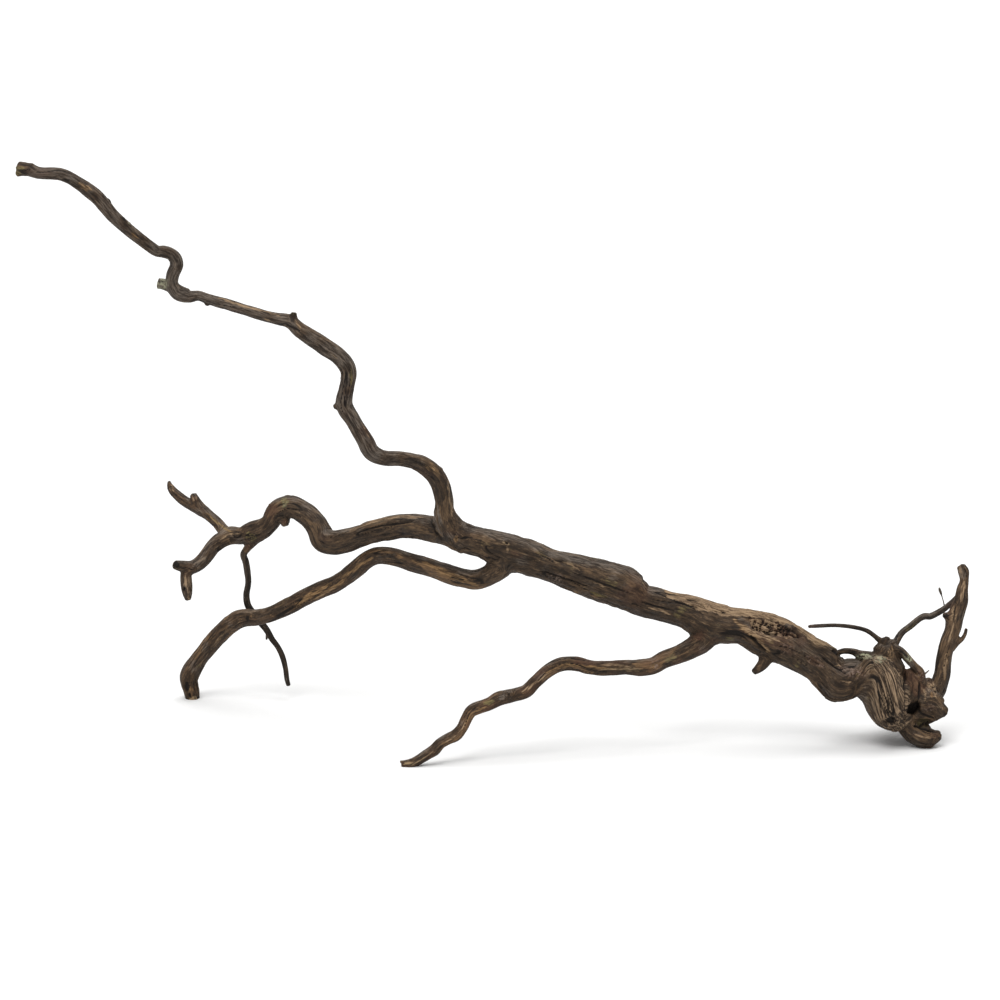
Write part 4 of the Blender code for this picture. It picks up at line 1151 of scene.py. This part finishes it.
def wood(name, bark, ridge, gold, worn_share):
    """Weathered root wood: dark fibrous bark, worn through to tan wood in places, with painted shade in
    grooves, pits and undersides and painted sheen on faces that point up.
    """
    material = bpy.data.materials.new(name)
    nodes = Nodes(material)
    flake = nodes.noise(nodes.place("grain", (0.46, 0.46, 0.12)), 1.0, 6.0, 0.72)
    hair = nodes.noise(nodes.place("grain", (1.15, 1.15, 0.13)), 1.0, 4.0, 0.72)
    thread = nodes.noise(nodes.place("grain", (1.10, 1.10, 0.045)), 1.0, 4.0, 0.66)
    coordinates = nodes.add("ShaderNodeTexCoord").outputs["Object"]
    patch = nodes.noise(coordinates, 70.0, 4.0, 0.6)
    pore = nodes.noise(coordinates, 650.0, 3.0, 0.65)
    grit = nodes.math("ADD", nodes.times(hair, 1.1), nodes.times(flake, 0.9))

    def streaked(under, cover, share, low, high, dark, light):
        """A cover over what is under it, dark and light by its finest hairs."""
        tone = nodes.blend(nodes.ramp(hair, low, high), dark, light)
        return nodes.blend(nodes.torn(cover, grit, share), under, tone)

    colour = nodes.blend(nodes.ramp(flake, 0.42, 0.60), bark, ridge)
    lit = nodes.times(nodes.ramp(hair, 0.52, 0.68), nodes.ramp(pore, 0.36, 0.62))
    colour = nodes.blend(nodes.times(lit, 0.85), colour, gold)
    shade = nodes.math("SUBTRACT", 1.0, nodes.ramp(hair, 0.34, 0.47))
    colour = nodes.blend(nodes.times(shade, 0.80), colour, SOOT)
    dust = nodes.times(nodes.ramp(patch, 0.48, 0.66), nodes.ramp(pore, 0.42, 0.60))
    colour = nodes.blend(nodes.times(dust, 0.40), colour, DUST)
    colour = streaked(colour, "worn", worn_share, 0.40, 0.62, ridge, gold)
    # Grey weathered patches, with painted sheen on faces that point up
    colour = streaked(colour, "ash_and_sheen", 0.55, 0.40, 0.62, *ASH_AND_SHEEN)
    colour = nodes.blend(nodes.times(nodes.mask("red"), 0.42), colour, RUST)
    colour = streaked(colour, "gold", 0.92, 0.40, 0.60, *GOLD)
    colour = streaked(colour, "moss", 0.80, 0.40, 0.60, *MOSS)
    colour = streaked(colour, "bare", 0.95, 0.38, 0.60, *BARE)
    strands = nodes.blend(nodes.ramp(thread, 0.45, 0.62), *STRANDS)
    colour = nodes.blend(nodes.times(nodes.mask("strand"), 0.76), colour, strands)
    speck = nodes.times(nodes.mask("rough"), nodes.ramp(pore, 0.50, 0.62))
    colour = nodes.blend(nodes.times(speck, 0.65), colour, SPECK)
    crust = nodes.times(nodes.mask("lichen"), nodes.ramp(pore, 0.40, 0.54))
    colour = nodes.blend(crust, colour, LICHEN)
    colour = nodes.blend(nodes.torn("cut", grit, 0.95), colour, FRESH_CUT)
    # Painted shade in cracks, pits, creases and hollows, with a few marks of dark bark
    colour = nodes.blend(nodes.torn("dark", grit, 0.94), colour, PIT)
    # Painted shade: the low parts of the relief are darkened towards near black
    groove_shade = nodes.math("SUBTRACT", 1.0, nodes.ramp(nodes.mask("relief"), 0.10, 0.46))
    colour = nodes.blend(nodes.times(groove_shade, 0.60), colour, GROOVE_SHADE)
    # Painted shade on the undersides
    colour = nodes.blend(nodes.times(nodes.mask("under"), 0.40), colour, SHADE)
    nodes.join(colour, nodes.shader.inputs["Base Color"])

    rough = nodes.add("ShaderNodeMapRange")
    rough.inputs["To Min"].default_value = 0.50
    rough.inputs["To Max"].default_value = 0.88
    nodes.join(flake, rough.inputs["Value"])
    nodes.join(rough.outputs["Result"], nodes.shader.inputs["Roughness"])
    nodes.shader.inputs["Specular IOR Level"].default_value = 0.20

    height = nodes.math("ADD", nodes.times(grit, 0.5), nodes.times(pore, 0.3))
    bump = nodes.add("ShaderNodeBump")
    bump.inputs["Strength"].default_value = 1.0
    bump.inputs["Distance"].default_value = 0.0009
    nodes.join(height, bump.inputs["Height"])
    nodes.join(bump.outputs["Normal"], nodes.shader.inputs["Normal"])
    return material


def build_wood():
    limbs = grow_limbs()
    points, quads = cast()
    for _ in range(3):
        skin = survey(limbs, points)
        points -= skin["way"] * skin["distance"][:, None]
    skin = survey(limbs, points)
    move, cover = carve(limbs, points, skin, vertex_normals(points, quads))
    nodes, face_node = split(limbs, points, quads, skin)
    points = points + skin["way"] * move[:, None]
    points[:, 2] = np.maximum(points[:, 2], 0.0)
    normals = vertex_normals(points, quads)
    cover["grain"] = skin["grain"]
    materials = {slot: wood(slot, *tones) for slot, tones in TONES.items()}
    for number, node in enumerate(nodes):
        chosen = quads[face_node == number]
        slot = SLOTS[node]
        slivers = [stations for stations, home in SLIVERS if home == node]
        body = piece(node + "_wood", points, chosen, normals, cover, materials[slot], slivers)
        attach(body, "root")
        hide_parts(node)


def build_floor():
    mesh = bpy.data.meshes.new("floor")
    half = 14.0
    corners = [(-half, -half, 0), (half, -half, 0), (half, half, 0), (-half, half, 0)]
    mesh.from_pydata(corners, [], [(0, 1, 2, 3)])
    material = bpy.data.materials.new("floor")
    material.use_nodes = True
    shader = material.node_tree.nodes["Principled BSDF"]
    shader.inputs["Base Color"].default_value = (0.93, 0.93, 0.925, 1.0)
    shader.inputs["Roughness"].default_value = 0.9
    mesh.materials.append(material)
    floor = add_object("floor", mesh)


def soft_light(name, source, width, power):
    """A wide, even light from a direction, as from a large diffuser far away."""
    data = bpy.data.lights.new(name, "SUN")
    data.angle = math.radians(width)
    data.energy = power
    light = add_object(name, data)
    light.rotation_euler = Vector(source).to_track_quat("Z", "Y").to_euler()


def build_light():
    world = bpy.data.worlds.new("studio")
    bpy.context.scene.world = world
    world.use_nodes = True
    background = world.node_tree.nodes["Background"]
    background.inputs["Color"].default_value = (1.0, 1.0, 1.0, 1.0)
    background.inputs["Strength"].default_value = 0.45
    soft_light("key", (-0.7, -1.3, 2.4), 35.0, 1.6)
    soft_light("top", (0.3, 0.6, 2.4), 50.0, 1.4)


def build_camera():
    data = bpy.data.cameras.new("camera")
    data.sensor_width = 36.0
    data.lens = data.sensor_width * EYE_DISTANCE / SIGHT_WIDTH
    data.clip_end = 60.0
    camera = add_object("camera", data)
    middle = Vector((-CENTRE_X, -CENTRE_Y, -FLOOR_Z)) * MM
    back = Vector((0.0, -math.cos(EYE_ELEVATION), math.sin(EYE_ELEVATION)))
    camera.location = middle + back * EYE_DISTANCE * MM
    camera.rotation_euler = (math.pi / 2 - EYE_ELEVATION, 0.0, 0.0)
    bpy.context.scene.camera = camera


bpy.context.scene.view_settings.view_transform = "Standard"
build_camera()
build_light()
build_floor()
build_wood()
